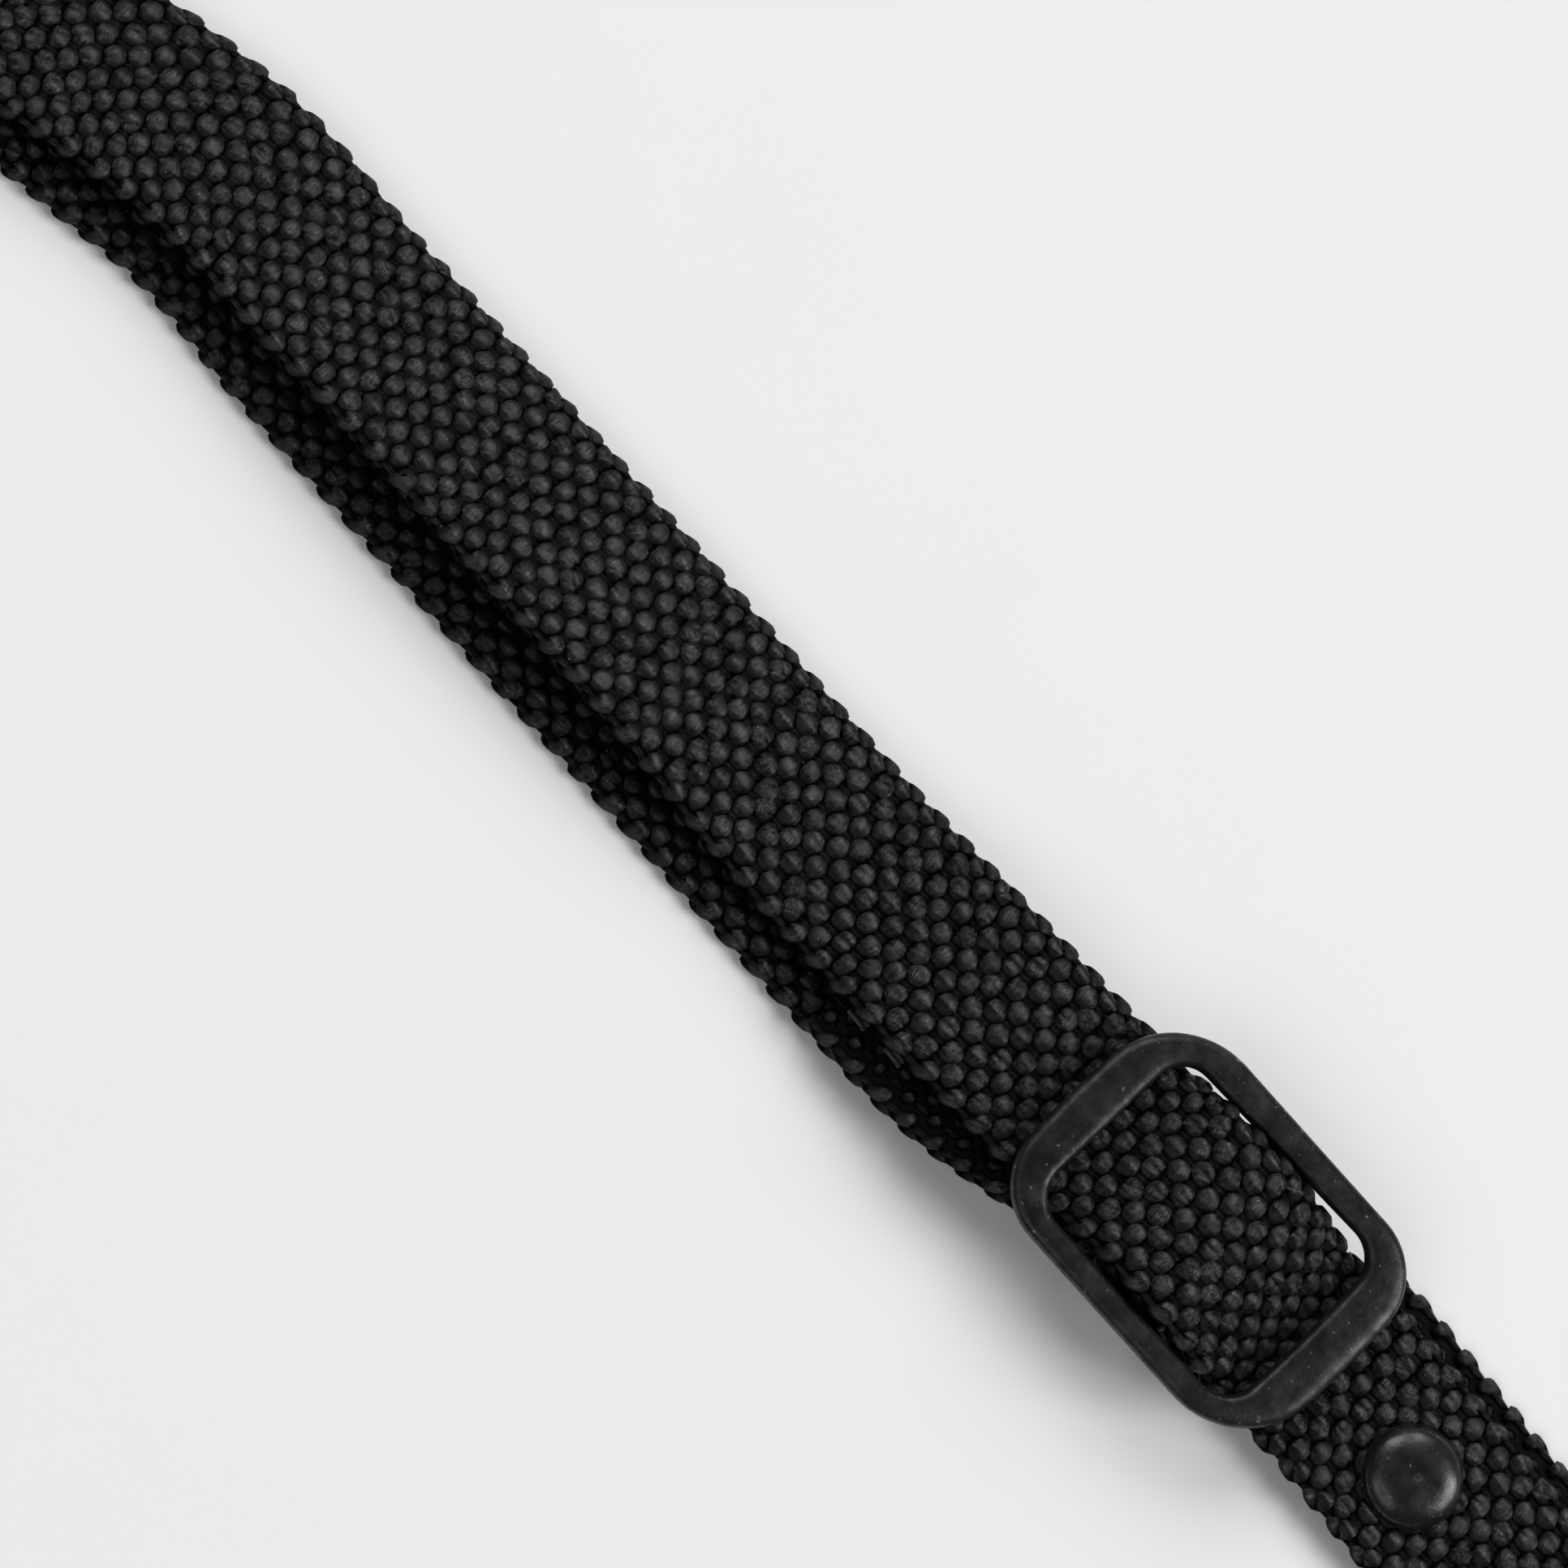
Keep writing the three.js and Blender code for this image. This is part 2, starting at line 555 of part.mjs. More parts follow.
function tabB() {
  const group = new THREE.Group();
  const topLow = FOLDED_LEATHER + GAP;
  const outline = tabBOutline(TAB_B.flatFrom, 0);
  const plate = solid(toIndexed(extruded(outline, topLow, topLow + FOLDED_LEATHER, 0)));
  let leather = solid(tabBFold()).add(plate);
  for (const y of TAB_RIVETS.y) {
    leather = leather.subtract(drill(RIVET.shank + GAP, -1, 8, TAB_RIVETS.x, y, 12));
    leather = leather.subtract(drill(TAB_RIVETS.head + GAP, -1, 0.8, TAB_RIVETS.x, y, 16));
  }
  const lining = extruded(tabBOutline(TAB_B.liningStart, LINING_INSET), 0, FOLDED_LEATHER, 0.25);
  group.add(named('tab_b_leather', geometryOf(leather), leatherBlack));
  group.add(named('tab_b_lining', lining, liningBlack));
  const seat = 2 * FOLDED_LEATHER + GAP + 0.1;
  const { x, cap, head } = TAB_RIVETS;
  TAB_RIVETS.y.forEach((y, i) => {
    group.add(rivetCap(`tab_b_rivet_cap_${i + 1}`, x, y, seat, cap));
    group.add(rivetPost(`tab_b_rivet_post_${i + 1}`, x, y, seat - 0.2, head));
  });
  group.position.set(RING.x + RING.spacing, returnLegCentreY(), 0);
  return group;
}

// ---------------------------------------------------------------- ring
// The middle line of the wire, a rounded rectangle, with the direction out of it at each point.
function ringPath() {
  const corner = 3.5;
  const halfLength = RING.spacing / 2;
  const halfWidth = RING.innerWidth / 2 + RING.wire;
  const path = [];
  for (const [sx, sy, start] of [[1, 1, 0], [-1, 1, 90], [-1, -1, 180], [1, -1, 270]]) {
    for (let i = 0; i <= 4; i++) {
      const angle = radians(start + (90 * i) / 4);
      const outward = new THREE.Vector3(Math.cos(angle), Math.sin(angle), 0);
      const at = new THREE.Vector3(sx * (halfLength - corner), sy * (halfWidth - corner), 0);
      path.push({ at: at.addScaledVector(outward, corner), outward });
    }
  }
  return path;
}

function ring() {
  const path = ringPath();
  const sides = 10;
  const positions = [];
  const index = [];
  path.forEach(({ at, outward }, i) => {
    const next = (i + 1) % path.length;
    for (let k = 0; k < sides; k++) {
      const angle = (2 * Math.PI * k) / sides;
      const point = at.clone().addScaledVector(outward, RING.wire * Math.cos(angle));
      point.addScaledVector(UP, RING.wire * Math.sin(angle));
      positions.push(...point.toArray());
      const k1 = (k + 1) % sides;
      const [a, b, c, d] = [i * sides + k, i * sides + k1, next * sides + k1, next * sides + k];
      index.push(a, c, b, a, d, c);
    }
  });
  const geometry = facingOut(positions, index);
  geometry.translate(RING.x + RING.spacing / 2, returnLegCentreY(), RING_HEIGHT);
  return named('ring', geometry, paintBlack);
}

// ---------------------------------------------------------------- assembly
const strap = new THREE.Group();
strap.add(webbingEnd(), webbingUpper(), webbingLower(), webbingFar());
strap.add(endRivet());
strap.add(slideFrame());
TACK.from.forEach((from, i) => strap.add(loopTack(`loop_tack_${i + 1}`, from)));
strap.add(tabA(), ring(), tabB());

export default strap;
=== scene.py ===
"""A 20 mm webbing guitar strap, laid on a pale floor as a hairpin, seen close to its slide.

Lengths are worked out in millimetres, in the frame of the CAD part, and turned into metres when a
mesh is made.  "distance" runs along the strap from the slide's centre bar towards the far end,
"side" across the webbing, to the left, and "height" up from the floor or out of the webbing."""
import math

import bpy
import numpy as np
from mathutils import Matrix, Vector


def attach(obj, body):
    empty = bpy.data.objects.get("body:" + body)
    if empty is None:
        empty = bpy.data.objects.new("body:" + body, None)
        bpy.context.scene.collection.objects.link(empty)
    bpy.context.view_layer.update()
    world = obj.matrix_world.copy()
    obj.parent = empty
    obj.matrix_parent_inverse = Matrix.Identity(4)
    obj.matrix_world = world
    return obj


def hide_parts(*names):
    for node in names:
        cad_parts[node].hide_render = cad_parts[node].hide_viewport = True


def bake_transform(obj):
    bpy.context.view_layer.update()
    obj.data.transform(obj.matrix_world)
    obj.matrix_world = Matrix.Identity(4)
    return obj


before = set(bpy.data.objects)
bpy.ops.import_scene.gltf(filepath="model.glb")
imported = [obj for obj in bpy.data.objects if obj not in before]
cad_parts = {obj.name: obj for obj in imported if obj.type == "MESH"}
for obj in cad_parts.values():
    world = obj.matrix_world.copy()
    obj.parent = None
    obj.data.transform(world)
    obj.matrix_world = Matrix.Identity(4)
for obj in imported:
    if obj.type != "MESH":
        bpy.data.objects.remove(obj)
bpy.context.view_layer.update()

MM = 0.001

# ---------------------------------------------------------------- driving dimensions (mm)
WIDTH = 20.0
THICKNESS = 1.8
GAP = 0.3
LAYER = THICKNESS + GAP
MID = THICKNESS / 2

STRAIGHT = 126.0
EASE_RADIUS, EASE_ANGLE = 135.0, math.radians(35)
TURN_RADIUS = 66.0
EDGE_Y = 6.1
SEAM = 172.0

# How the strands leave the straight, flat lie: degrees of roll, and millimetres to the right (drift)
# and of the lower strand to the left.
ROLL = {"lifted": 13.5, "eased": 6.5, "upright": 88.0}
DRIFT = {"slide": 1.0, "before_slide": 0.8, "turn": 1.5}
LOWER_SHIFT = 4.1
END_SLANT, END_TAIL_SHIFT = 0.045, 2.6

WINDOW = {"far": 14.5, "near": 13.9, "width": 21.5, "corner": 3.4, "taper": 0.9}
BARS = {"far": 4.8, "near": 5.2, "side": 2.9}
CORNERS = (6.6, 9.2, 6.6, 9.2)  # the frame's outer corners, anticlockwise from +X, +Y
BOW = {"outer": 0.75, "inner": 0.6}  # how far the frame's bars bulge out and in
FRAME_THICKNESS = 2.2
FRAME_Y, FRAME_HEIGHT = -2.7, 7.65
FRAME_TILT, FRAME_YAW = math.radians(3.5), math.radians(0.6)
BAR_THICKNESS, BAR_WIDTH, BAR_DROP = 1.8, 4.4, 1.8
# The centre bar's roots in the sides of the frame: where they start and how much they grow.
FLARE = {"from": 3.0, "run": 3.6, "reach": 3.2, "lift": 1.0, "thicken": 0.3, "inset": 1.4}

RIVET = {"x": 32.1, "y": -3.2, "radius": 5.1, "crown": 1.9, "sunk": 0.35}
TACKS_AT = (32.0, 37.0)
FOLD_A_X, FOLD_A_RADIUS = 66.0, 4.0
RING_X, RING_WIRE, RING_SPACING, RING_WIDTH, RING_CORNER = 64.0, 1.5, 16.0, 23.0, 3.5
RING_HEIGHT = RING_WIRE + GAP + THICKNESS
TAB_TIP, BUTTON_HOLE, BUTTON_SLIT, SLIT_LENGTH, BUTTON_FROM_TIP = 15.0, 4.5, 1.0, 10.0, 17.0
TAB_A = {"length": 104.0, "strip": 2.4, "slot_end": 7.6, "slot_half": 12.0, "half": 15.0, "y": -4.0,
         "leather": 1.7, "lining": 1.1, "seam_from": 13.0, "seam_inset": 2.6}
TAB_B = {"length": 112.0, "neck": 10.0, "flap_end": 30.0, "lining_from": 31.0, "flat_from": 17.0,
         "widens": 33.0, "wide": 54.0, "leather": 1.8, "rivet_x": 24.0, "rivet_y": 5.0,
         "rivet_radius": 3.6, "rivet_crown": 1.3, "seam_inset": 2.4}

# The weave: one pick is one crossing yarn, one end is one lengthwise yarn.
PICK = 1.84
ENDS = 13
END_SPACING = 1.5


def smooth(value, start, end):
    t = np.clip((np.asarray(value, float) - start) / (end - start), 0, 1)
    return t * t * (3 - 2 * t)


# ---------------------------------------------------------------- the strap's way over the floor
TURN = [(EASE_RADIUS, EASE_ANGLE), (TURN_RADIUS, math.pi - 2 * EASE_ANGLE), (EASE_RADIUS, EASE_ANGLE)]
TURN_LENGTH = sum(radius * angle for radius, angle in TURN)
RING_AT = STRAIGHT + TURN_LENGTH + STRAIGHT + RING_X


def plan_at(distance):
    """The strap's right-hand edge on the floor, and the direction to its left."""
    distance = np.asarray(distance, float)
    heading = np.full(distance.shape, math.pi)
    first = np.minimum(distance, STRAIGHT)
    x, y = -first, np.full(distance.shape, EDGE_Y)
    rest = distance - first
    for radius, angle in TURN:
        turned = np.minimum(rest / radius, angle)
        x = x + radius * (np.sin(heading + turned) - np.sin(heading))
        y = y - radius * (np.cos(heading + turned) - np.cos(heading))
        heading = heading + turned
        rest = rest - turned * radius
    x = x + rest * np.cos(heading)
    y = y + rest * np.sin(heading)
    leftward = np.stack([-np.sin(heading), np.cos(heading), np.zeros_like(x)], -1)
    return np.stack([x, y, np.zeros_like(x)], -1), leftward


def edge_drift(distance):
    """How far the right-hand edge runs out: in the slide and beyond it, where the turn starts, and
    askew in the end stretch."""
    in_slide = DRIFT["slide"] * (1 - smooth(distance, 4, 36))
    before = DRIFT["before_slide"] * (1 - smooth(distance, -22, -12))
    in_turn = DRIFT["turn"] * (smooth(distance, 124, 146) - smooth(distance, 300, 360))
    return in_slide + before + in_turn - END_SLANT * np.maximum(-np.asarray(distance, float) - 18, 0)


def lower_roll(distance):
    return math.radians(ROLL["upright"]) * (smooth(distance, 172, 232) - smooth(distance, 312, 372))


def upper_roll(distance):
    lifted = ROLL["lifted"] * smooth(distance, 42, 84) - ROLL["eased"] * smooth(distance, 112, 146)
    to_upright = ROLL["upright"] - ROLL["lifted"] + ROLL["eased"]
    standing = to_upright * smooth(distance, 168, 225) - ROLL["upright"] * smooth(distance, 320, 380)
    return np.radians(lifted + standing)


def lower_offset(distance):
    return LOWER_SHIFT * smooth(distance, 1, 30) * (1 - smooth(distance, 150, 200))


def spline(points):
    """Evenly spaced points on a centripetal Catmull-Rom curve through the given ones."""
    p = np.array(points, float)
    p = np.vstack([2 * p[0] - p[1], p, 2 * p[-1] - p[-2]])
    found = []
    for a, b, c, d in zip(p, p[1:], p[2:], p[3:]):
        t0, t1, t2 = (math.sqrt(np.linalg.norm(v)) for v in (b - a, c - b, d - c))
        m1 = t1 * ((b - a) / t0 - (c - a) / (t0 + t1) + (c - b) / t1)
        m2 = t1 * ((c - b) / t1 - (d - b) / (t1 + t2) + (d - c) / t2)
        t = np.linspace(0, 1, 33)[:-1, None]
        found.append(b + m1 * t + (3 * (c - b) - 2 * m1 - m2) * t**2 + (2 * (b - c) + m1 + m2) * t**3)
    return respaced(np.vstack([*found, p[-2:-1]]))


def respaced(line, step=0.5):
    """The same line with its points evenly spaced."""
    along = np.concatenate([[0], np.cumsum(np.linalg.norm(np.diff(line, axis=0), axis=1))])
    even = np.linspace(0, along[-1], max(3, round(along[-1] / step) + 1))
    return np.stack([np.interp(even, along, line[:, k]) for k in range(line.shape[1])], -1)


def arc(centre, radius, start, end, steps=24):
    angle = np.radians(np.linspace(start, end, steps + 1))
    return np.stack([centre[0] + radius * np.cos(angle), centre[1] + radius * np.sin(angle)], -1)


# ---------------------------------------------------------------- strands
class Strand:
    """A run of webbing: its middle line, the direction across it and the one out of its face.

    side_view is its way as (distance, height); roll and offset are functions of the distance."""

    def __init__(self, side_view, roll, offset):
        side_view = respaced(np.maximum(side_view, [-np.inf, MID]))
        distance, height = side_view.T
        at, leftward = plan_at(distance)
        base, own = lower_roll(distance)[:, None], roll(distance)[:, None]
        up = np.array([0.0, 0, 1])
        self.across = leftward * np.cos(own) + up * np.sin(own)
        stack_up = up * np.cos(base) - leftward * np.sin(base)
        lift = up * np.cos(own) - leftward * np.sin(own)
        shift = np.broadcast_to(offset(distance), distance.shape) - edge_drift(distance)
        self.middle = (at + leftward * shift[:, None] + stack_up * (height - MID)[:, None]
                       + self.across * WIDTH / 2 + lift * MID)
        along = np.gradient(self.middle, axis=0)
        along /= np.linalg.norm(along, axis=1)[:, None]
        self.face = np.cross(along, self.across)
        self.face /= np.linalg.norm(self.face, axis=1)[:, None]
        steps = np.linalg.norm(np.diff(self.middle, axis=0), axis=1)
        self.along = np.concatenate([[0], np.cumsum(steps)])
        self.length = float(self.along[-1])

    def place(self, along, side, out):
        """World points, in millimetres, of points in the flat webbing."""
        def at(table):
            return np.stack([np.interp(along, self.along, table[:, k]) for k in range(3)], -1)
        return at(self.middle) + at(self.across) * side[..., None] + at(self.face) * out[..., None]


bar_middle = FRAME_HEIGHT - BAR_DROP + BAR_THICKNESS / 2
wrap_radius = BAR_THICKNESS / 2 + GAP + MID
wrap_centre = (-(BAR_WIDTH - BAR_THICKNESS) / 2, bar_middle)

upper_side = spline([
    (-17, 5.1), (-14, 5.12), (-11.5, 5.7), (-8, 7.9), (-4, 10.25), (-0.5, 11.0), (4, 10.75), (8, 9.5),
    (11.5, 8.0), (14.5, 7.28), (19, 7.25), (24, 7.4), (30, 7.5), (36, 6.8), (42, 5.6), (50, 4.0),
    (60, 3.1), (72, MID + LAYER), (110, MID + LAYER), (SEAM, MID + LAYER)])
tail_side = spline([
    (41, 3.45), (36, 4.0), (28, 5.1), (16, 5.1), (13, 5.2), (9.5, 6.3), (5, 8.2),
    (1.5, bar_middle + wrap_radius), (wrap_centre[0], bar_middle + wrap_radius)])
leg_side = spline([
    (wrap_centre[0], bar_middle - wrap_radius), (2, 4.5), (6, 3.6), (10, 3.05), (16, 3.0), (28, 3.0),
    (36, 1.9), (46, MID), (60, MID), (110, MID), (SEAM, MID)])
lower_side = np.vstack([tail_side, arc(wrap_centre, wrap_radius, 90, 270)[1:-1], leg_side])
ring_turn = arc((RING_AT, RING_HEIGHT), RING_WIRE + GAP + MID, 90, -90)
far_upper_side = spline([
    (SEAM, MID + LAYER), (RING_AT - 60, MID + LAYER), (RING_AT - 26, 3.2), (RING_AT - 8, 5.9),
    ring_turn[0]])
far_lower_side = spline([(RING_AT, MID), (RING_AT - 60, MID), (SEAM, MID)])
fold_top = 2 * FOLD_A_RADIUS + MID
fold_turn = arc((-FOLD_A_X, FOLD_A_RADIUS + MID), FOLD_A_RADIUS, 90, 270)
end_over = spline([
    (28, MID), (10, MID), (-3, MID), (-9, 1.75), (-15, MID + LAYER), (-22, MID + LAYER),
    (-48, MID + LAYER), (-56, 5.2), (-62, 8.1), (-FOLD_A_X, fold_top)])
end_tail = spline([(-FOLD_A_X, MID), (-40, MID), (-16, MID)])
end_side = np.vstack([end_over, fold_turn[1:-1], end_tail])


def none(distance):
    """No roll, or no offset, anywhere."""
    return np.zeros_like(distance)


def end_offset(distance):
    """The tail under the end stretch lies a little to the right of the layer above it."""
    index = np.arange(len(distance))
    turned = int(np.argmin(distance))
    return -END_TAIL_SHIFT * smooth(index, turned - 12, turned + 12)


upper = Strand(upper_side, upper_roll, none)
lower = Strand(lower_side, lower_roll, lower_offset)
end = Strand(end_side, none, end_offset)
far_upper = Strand(np.vstack([far_upper_side, ring_turn[1:13]]), upper_roll, none)
far_lower = Strand(np.vstack([ring_turn[12:-1], far_lower_side]), lower_roll, lower_offset)


# ---------------------------------------------------------------- meshes
def new_object(name, data):
    obj = bpy.data.objects.new(name, data)
    bpy.context.scene.collection.objects.link(obj)
    return obj


def build(name, points, faces, uvs=None):
    """A mesh object from points in millimetres and faces of one size.

    uvs gives each point its way along and round a yarn, and its height in the cloth, in mm."""
    mesh = bpy.data.meshes.new(name)
    faces = np.asarray(faces, np.int32)
    count, corners = faces.shape
    mesh.vertices.add(len(points))
    mesh.vertices.foreach_set("co", (np.asarray(points) * MM).astype(np.float32).ravel())
    mesh.loops.add(faces.size)
    mesh.loops.foreach_set("vertex_index", faces.ravel())
    mesh.polygons.add(count)
    mesh.polygons.foreach_set("loop_start", np.arange(0, faces.size, corners, dtype=np.int32))
    mesh.polygons.foreach_set("use_smooth", np.full(count, True))
    if uvs is not None:
        corner_uvs = np.asarray(uvs, np.float32)[faces.ravel()]
        mesh.uv_layers.new(name="yarn").data.foreach_set("uv", corner_uvs[:, :2].ravel())
        corner_uvs[:, 0] = 0.5 + corner_uvs[:, 2] / 2
        mesh.uv_layers.new(name="height").data.foreach_set("uv", corner_uvs[:, :2].ravel())
    mesh.update(calc_edges=True)
    mesh.validate()
    return new_object(name, mesh)


def tube_faces(rings, sides, first=0):
    """Quads of one tube whose rings follow each other, closed by quads at both ends."""
    ring, k = np.meshgrid(np.arange(rings - 1), np.arange(sides), indexing="ij")
    a = first + ring * sides + k
    b = first + ring * sides + (k + 1) % sides
    wall = np.stack([a, b, b + sides, a + sides], -1).reshape(-1, 4)
    caps = []
    for start, turn in ((first, 1), (first + (rings - 1) * sides, -1)):
        for k in range(sides // 2 - 1):
            quad = [start + k, start + sides - 1 - k, start + sides - 2 - k, start + k + 1]
            caps.append(quad[::turn])
    return np.vstack([wall, np.array(caps, np.int32)])


def loop_faces(rings, sides):
    """Quads of a tube that closes on itself."""
    ring, k = np.meshgrid(np.arange(rings), np.arange(sides), indexing="ij")
    after, up = (ring + 1) % rings, (k + 1) % sides
    corners = [ring * sides + k, after * sides + k, after * sides + up, ring * sides + up]
    return np.stack(corners, -1).reshape(-1, 4)


def tube(path, half_side, half_out, sides):
    """Points round a yarn in flat webbing space (along, side, out), and their uvs.

    The section is an ellipse, half_side wide in the plane of the webbing and half_out high."""
    tangent = np.gradient(path, axis=0)
    tangent /= np.linalg.norm(tangent, axis=1)[:, None]
    level = np.stack([-tangent[:, 1], tangent[:, 0], np.zeros(len(path))], -1)
    level /= np.maximum(np.linalg.norm(level, axis=1), 1e-6)[:, None]
    out = np.cross(tangent, level)
    angle = np.linspace(0, 2 * math.pi, sides, endpoint=False)
    ring = (level[:, None] * (half_side[:, None] * np.cos(angle))[..., None]
            + out[:, None] * (half_out[:, None] * np.sin(angle))[..., None])
    run = np.concatenate([[0], np.cumsum(np.linalg.norm(np.diff(path, axis=0), axis=1))])
    round_yarn = np.abs(np.linspace(-1, 1, sides, endpoint=False)) * 2.2
    uvs = np.stack(np.broadcast_arrays(run[:, None], round_yarn[None]), -1)
    return (path[:, None] + ring).reshape(-1, 3), uvs.reshape(-1, 2)


# ---------------------------------------------------------------- the weave
# Lengths in mm.  A float is a stretch of a yarn that lies on top of the others.
WEFT = {"narrow": 0.58, "wide": 1.13, "half_height": 0.52, "rise": 0.46}
DIVE = (0.50, 0.98)  # where a crossing yarn goes down, from an end it passes over (0) to under (1)
PINCH = (0.12, 0.92)  # and where it is pinched narrower
WARP = {"half_width": 0.36, "half_height": 0.28, "rise": 0.27, "edge_shift": 0.32}
EDGE_TURN = 9.5  # how far out the crossing yarn's middle comes where it turns at the edge
EDGE_LOOP = {"half_width": 0.68, "foot": 0.16, "bulge": 0.12}
UNEVEN = {"bump": 0.12, "fat": 0.09, "lean": 0.17}  # of the floats' height, width and place
WANDER = {"side": 0.06, "fat": 0.08}  # of the lengthwise yarns
HALF_ENDS = (ENDS - 1) / 2


def crossing_yarn(first, last, total, uneven, steps):
    """The crossing yarn's path over a run of picks, with its half widths and half heights."""
    across = np.linspace(-HALF_ENDS, HALF_ENDS, (ENDS - 1) * steps + 1)
    turn = np.linspace(0, 1, 8)[1:-1]
    edge = END_SPACING * HALF_ENDS
    path, widths, heights = [], [], []
    for j in range(first, last):
        way = 1 if j % 2 == 0 else -1
        cell = across * way
        column = np.clip(np.round(cell + HALF_ENDS).astype(int), 0, ENDS - 1)
        near = np.cos(math.pi * (cell - np.round(cell)))**2  # 1 on an end, 0 between two
        bump, fat, lean = uneven[:, j, column] * near
        away = np.arccos(np.clip(way * np.cos(math.pi * cell), -1, 1)) / math.pi
        sunk, pinched = smooth(away, *DIVE), smooth(away, *PINCH)
        level = 1 - 2 * sunk - 0.35 * away**2 * (1 - sunk)
        rise = WEFT["rise"] * level * (1 + UNEVEN["bump"] * bump)
        path.append(np.stack([(j + 0.5) * PICK + UNEVEN["lean"] * lean, cell * END_SPACING, rise], -1))
        swell = WEFT["wide"] + (WEFT["narrow"] - WEFT["wide"]) * pinched
        widths.append(swell * (1 + UNEVEN["fat"] * fat))
        heights.append(WEFT["half_height"] * (1 + UNEVEN["bump"] / 2 * bump))
        if j == total - 1:
            break
        out = edge + (EDGE_TURN - edge) * np.sin(math.pi * turn)**0.5
        along = (j + 0.5 + turn) * PICK - EDGE_LOOP["bulge"] * np.sin(2 * math.pi * turn)
        path.append(np.stack([along, way * out, WEFT["rise"] * np.cos(math.pi * turn)], -1))
        widths.append(EDGE_LOOP["half_width"] + EDGE_LOOP["foot"] * np.abs(2 * turn - 1))
        heights.append(np.full(len(turn), WEFT["half_height"]))
    return np.vstack(path), np.concatenate(widths), np.concatenate(heights)


def lengthwise_yarn(i, run, phase):
    """The path of lengthwise yarn i over the picks in run, with its half widths and half heights."""
    outward = WARP["edge_shift"] * (np.sign(i - HALF_ENDS) if i in (0, ENDS - 1) else 0)
    wander = WANDER["side"] * np.sin(run / 2.7 + i * 1.9 + phase[3])
    side = (i - HALF_ENDS) * END_SPACING + outward + wander
    crest = np.cos(math.pi * (run - 0.5)) * (-1)**(i + 1)
    path = np.stack([run * PICK, side, WARP["rise"] * crest], -1)
    fat = 1 + WANDER["fat"] * np.sin(run * 1.1 + i * 2.3 + phase[4])
    return path, WARP["half_width"] * fat, WARP["half_height"] * np.ones(len(run))


def sway(along, side, phase):
    """Slow unevenness of the whole cloth, in mm along it."""
    bow = 0.004 * side**2 * np.sin(along / 41 + phase[0])
    long_wave = 0.16 * np.sin(along / 7.3 + side / 5 + phase[1])
    return bow + long_wave + 0.1 * np.sin(along / 3.1 - side / 3.7 + phase[2])


def weave(strand, start, stop, seed, weft_steps, weft_sides, warp_steps, warp_sides,
          press=None, face=1):
    """Points, faces and uvs of plain weave along part of a strand: one crossing yarn that turns
    back and forth at the edges, over and under ENDS lengthwise ones.  Parts of one strand with the
    same seed fit together.  face is the side that shows the longer floats of the crossing yarn."""
    random = np.random.default_rng(seed)
    total = 2 * round(strand.length / PICK / 2)
    fit = strand.length / (total * PICK)  # stretches the picks a little to end where the strand does
    first, last = round(start / PICK), min(round(stop / PICK), total)
    phase = random.uniform(0, 2 * math.pi, 6)
    uneven = random.normal(0, 1, (3, math.ceil(strand.length / PICK) + 2, ENDS))

    yarns = [(*crossing_yarn(first, last, total, uneven, weft_steps), weft_sides, (0, 0))]
    run = np.linspace(first, last, (last - first) * warp_steps + 1)
    for i in range(ENDS):
        yarns.append((*lengthwise_yarn(i, run, phase), warp_sides, (40.0 * i, 60.0)))
    points, faces, uvs, count = [], [], [], 0
    for path, half_side, half_out, sides, uv_start in yarns:
        shape, way_on_yarn = tube(path, half_side, half_out, sides)
        points.append(shape)
        uvs.append(way_on_yarn + uv_start)
        faces.append(tube_faces(len(path), sides, count))
        count += len(shape)

    along, side, out = np.vstack(points).T * [[1], [face], [face]]
    uvs = np.column_stack([np.vstack(uvs), np.abs(out)])
    along = fit * along
    both_ends = smooth(along, 0, 8) * smooth(strand.length - along, 0, 8)
    along = along + sway(along, side, phase) * both_ends
    if press is not None:
        out = press(along, side, out)
    return strand.place(along, side, out), np.vstack(faces), uvs


def core(name, strand, start, stop, press=None, width=18.4, thickness=0.26):
    """The thin closed ribbon inside the weave, which keeps light from passing between the yarns."""
    along = np.linspace(start, stop, max(3, round((stop - start) / 1.5)))
    corners = [(-1, -1), (0, -1), (1, -1), (1, 1), (0, 1), (-1, 1)]
    rings = np.array([[[a, x * width / 2, z * thickness / 2] for x, z in corners] for a in along])
    flat_points = rings.reshape(-1, 3)
    out = flat_points[:, 2]
    if press is not None:
        out = press(flat_points[:, 0], flat_points[:, 1], out)
    points = strand.place(flat_points[:, 0], flat_points[:, 1], out)
    return build(name, points, tube_faces(len(along), len(corners)), flat_points)


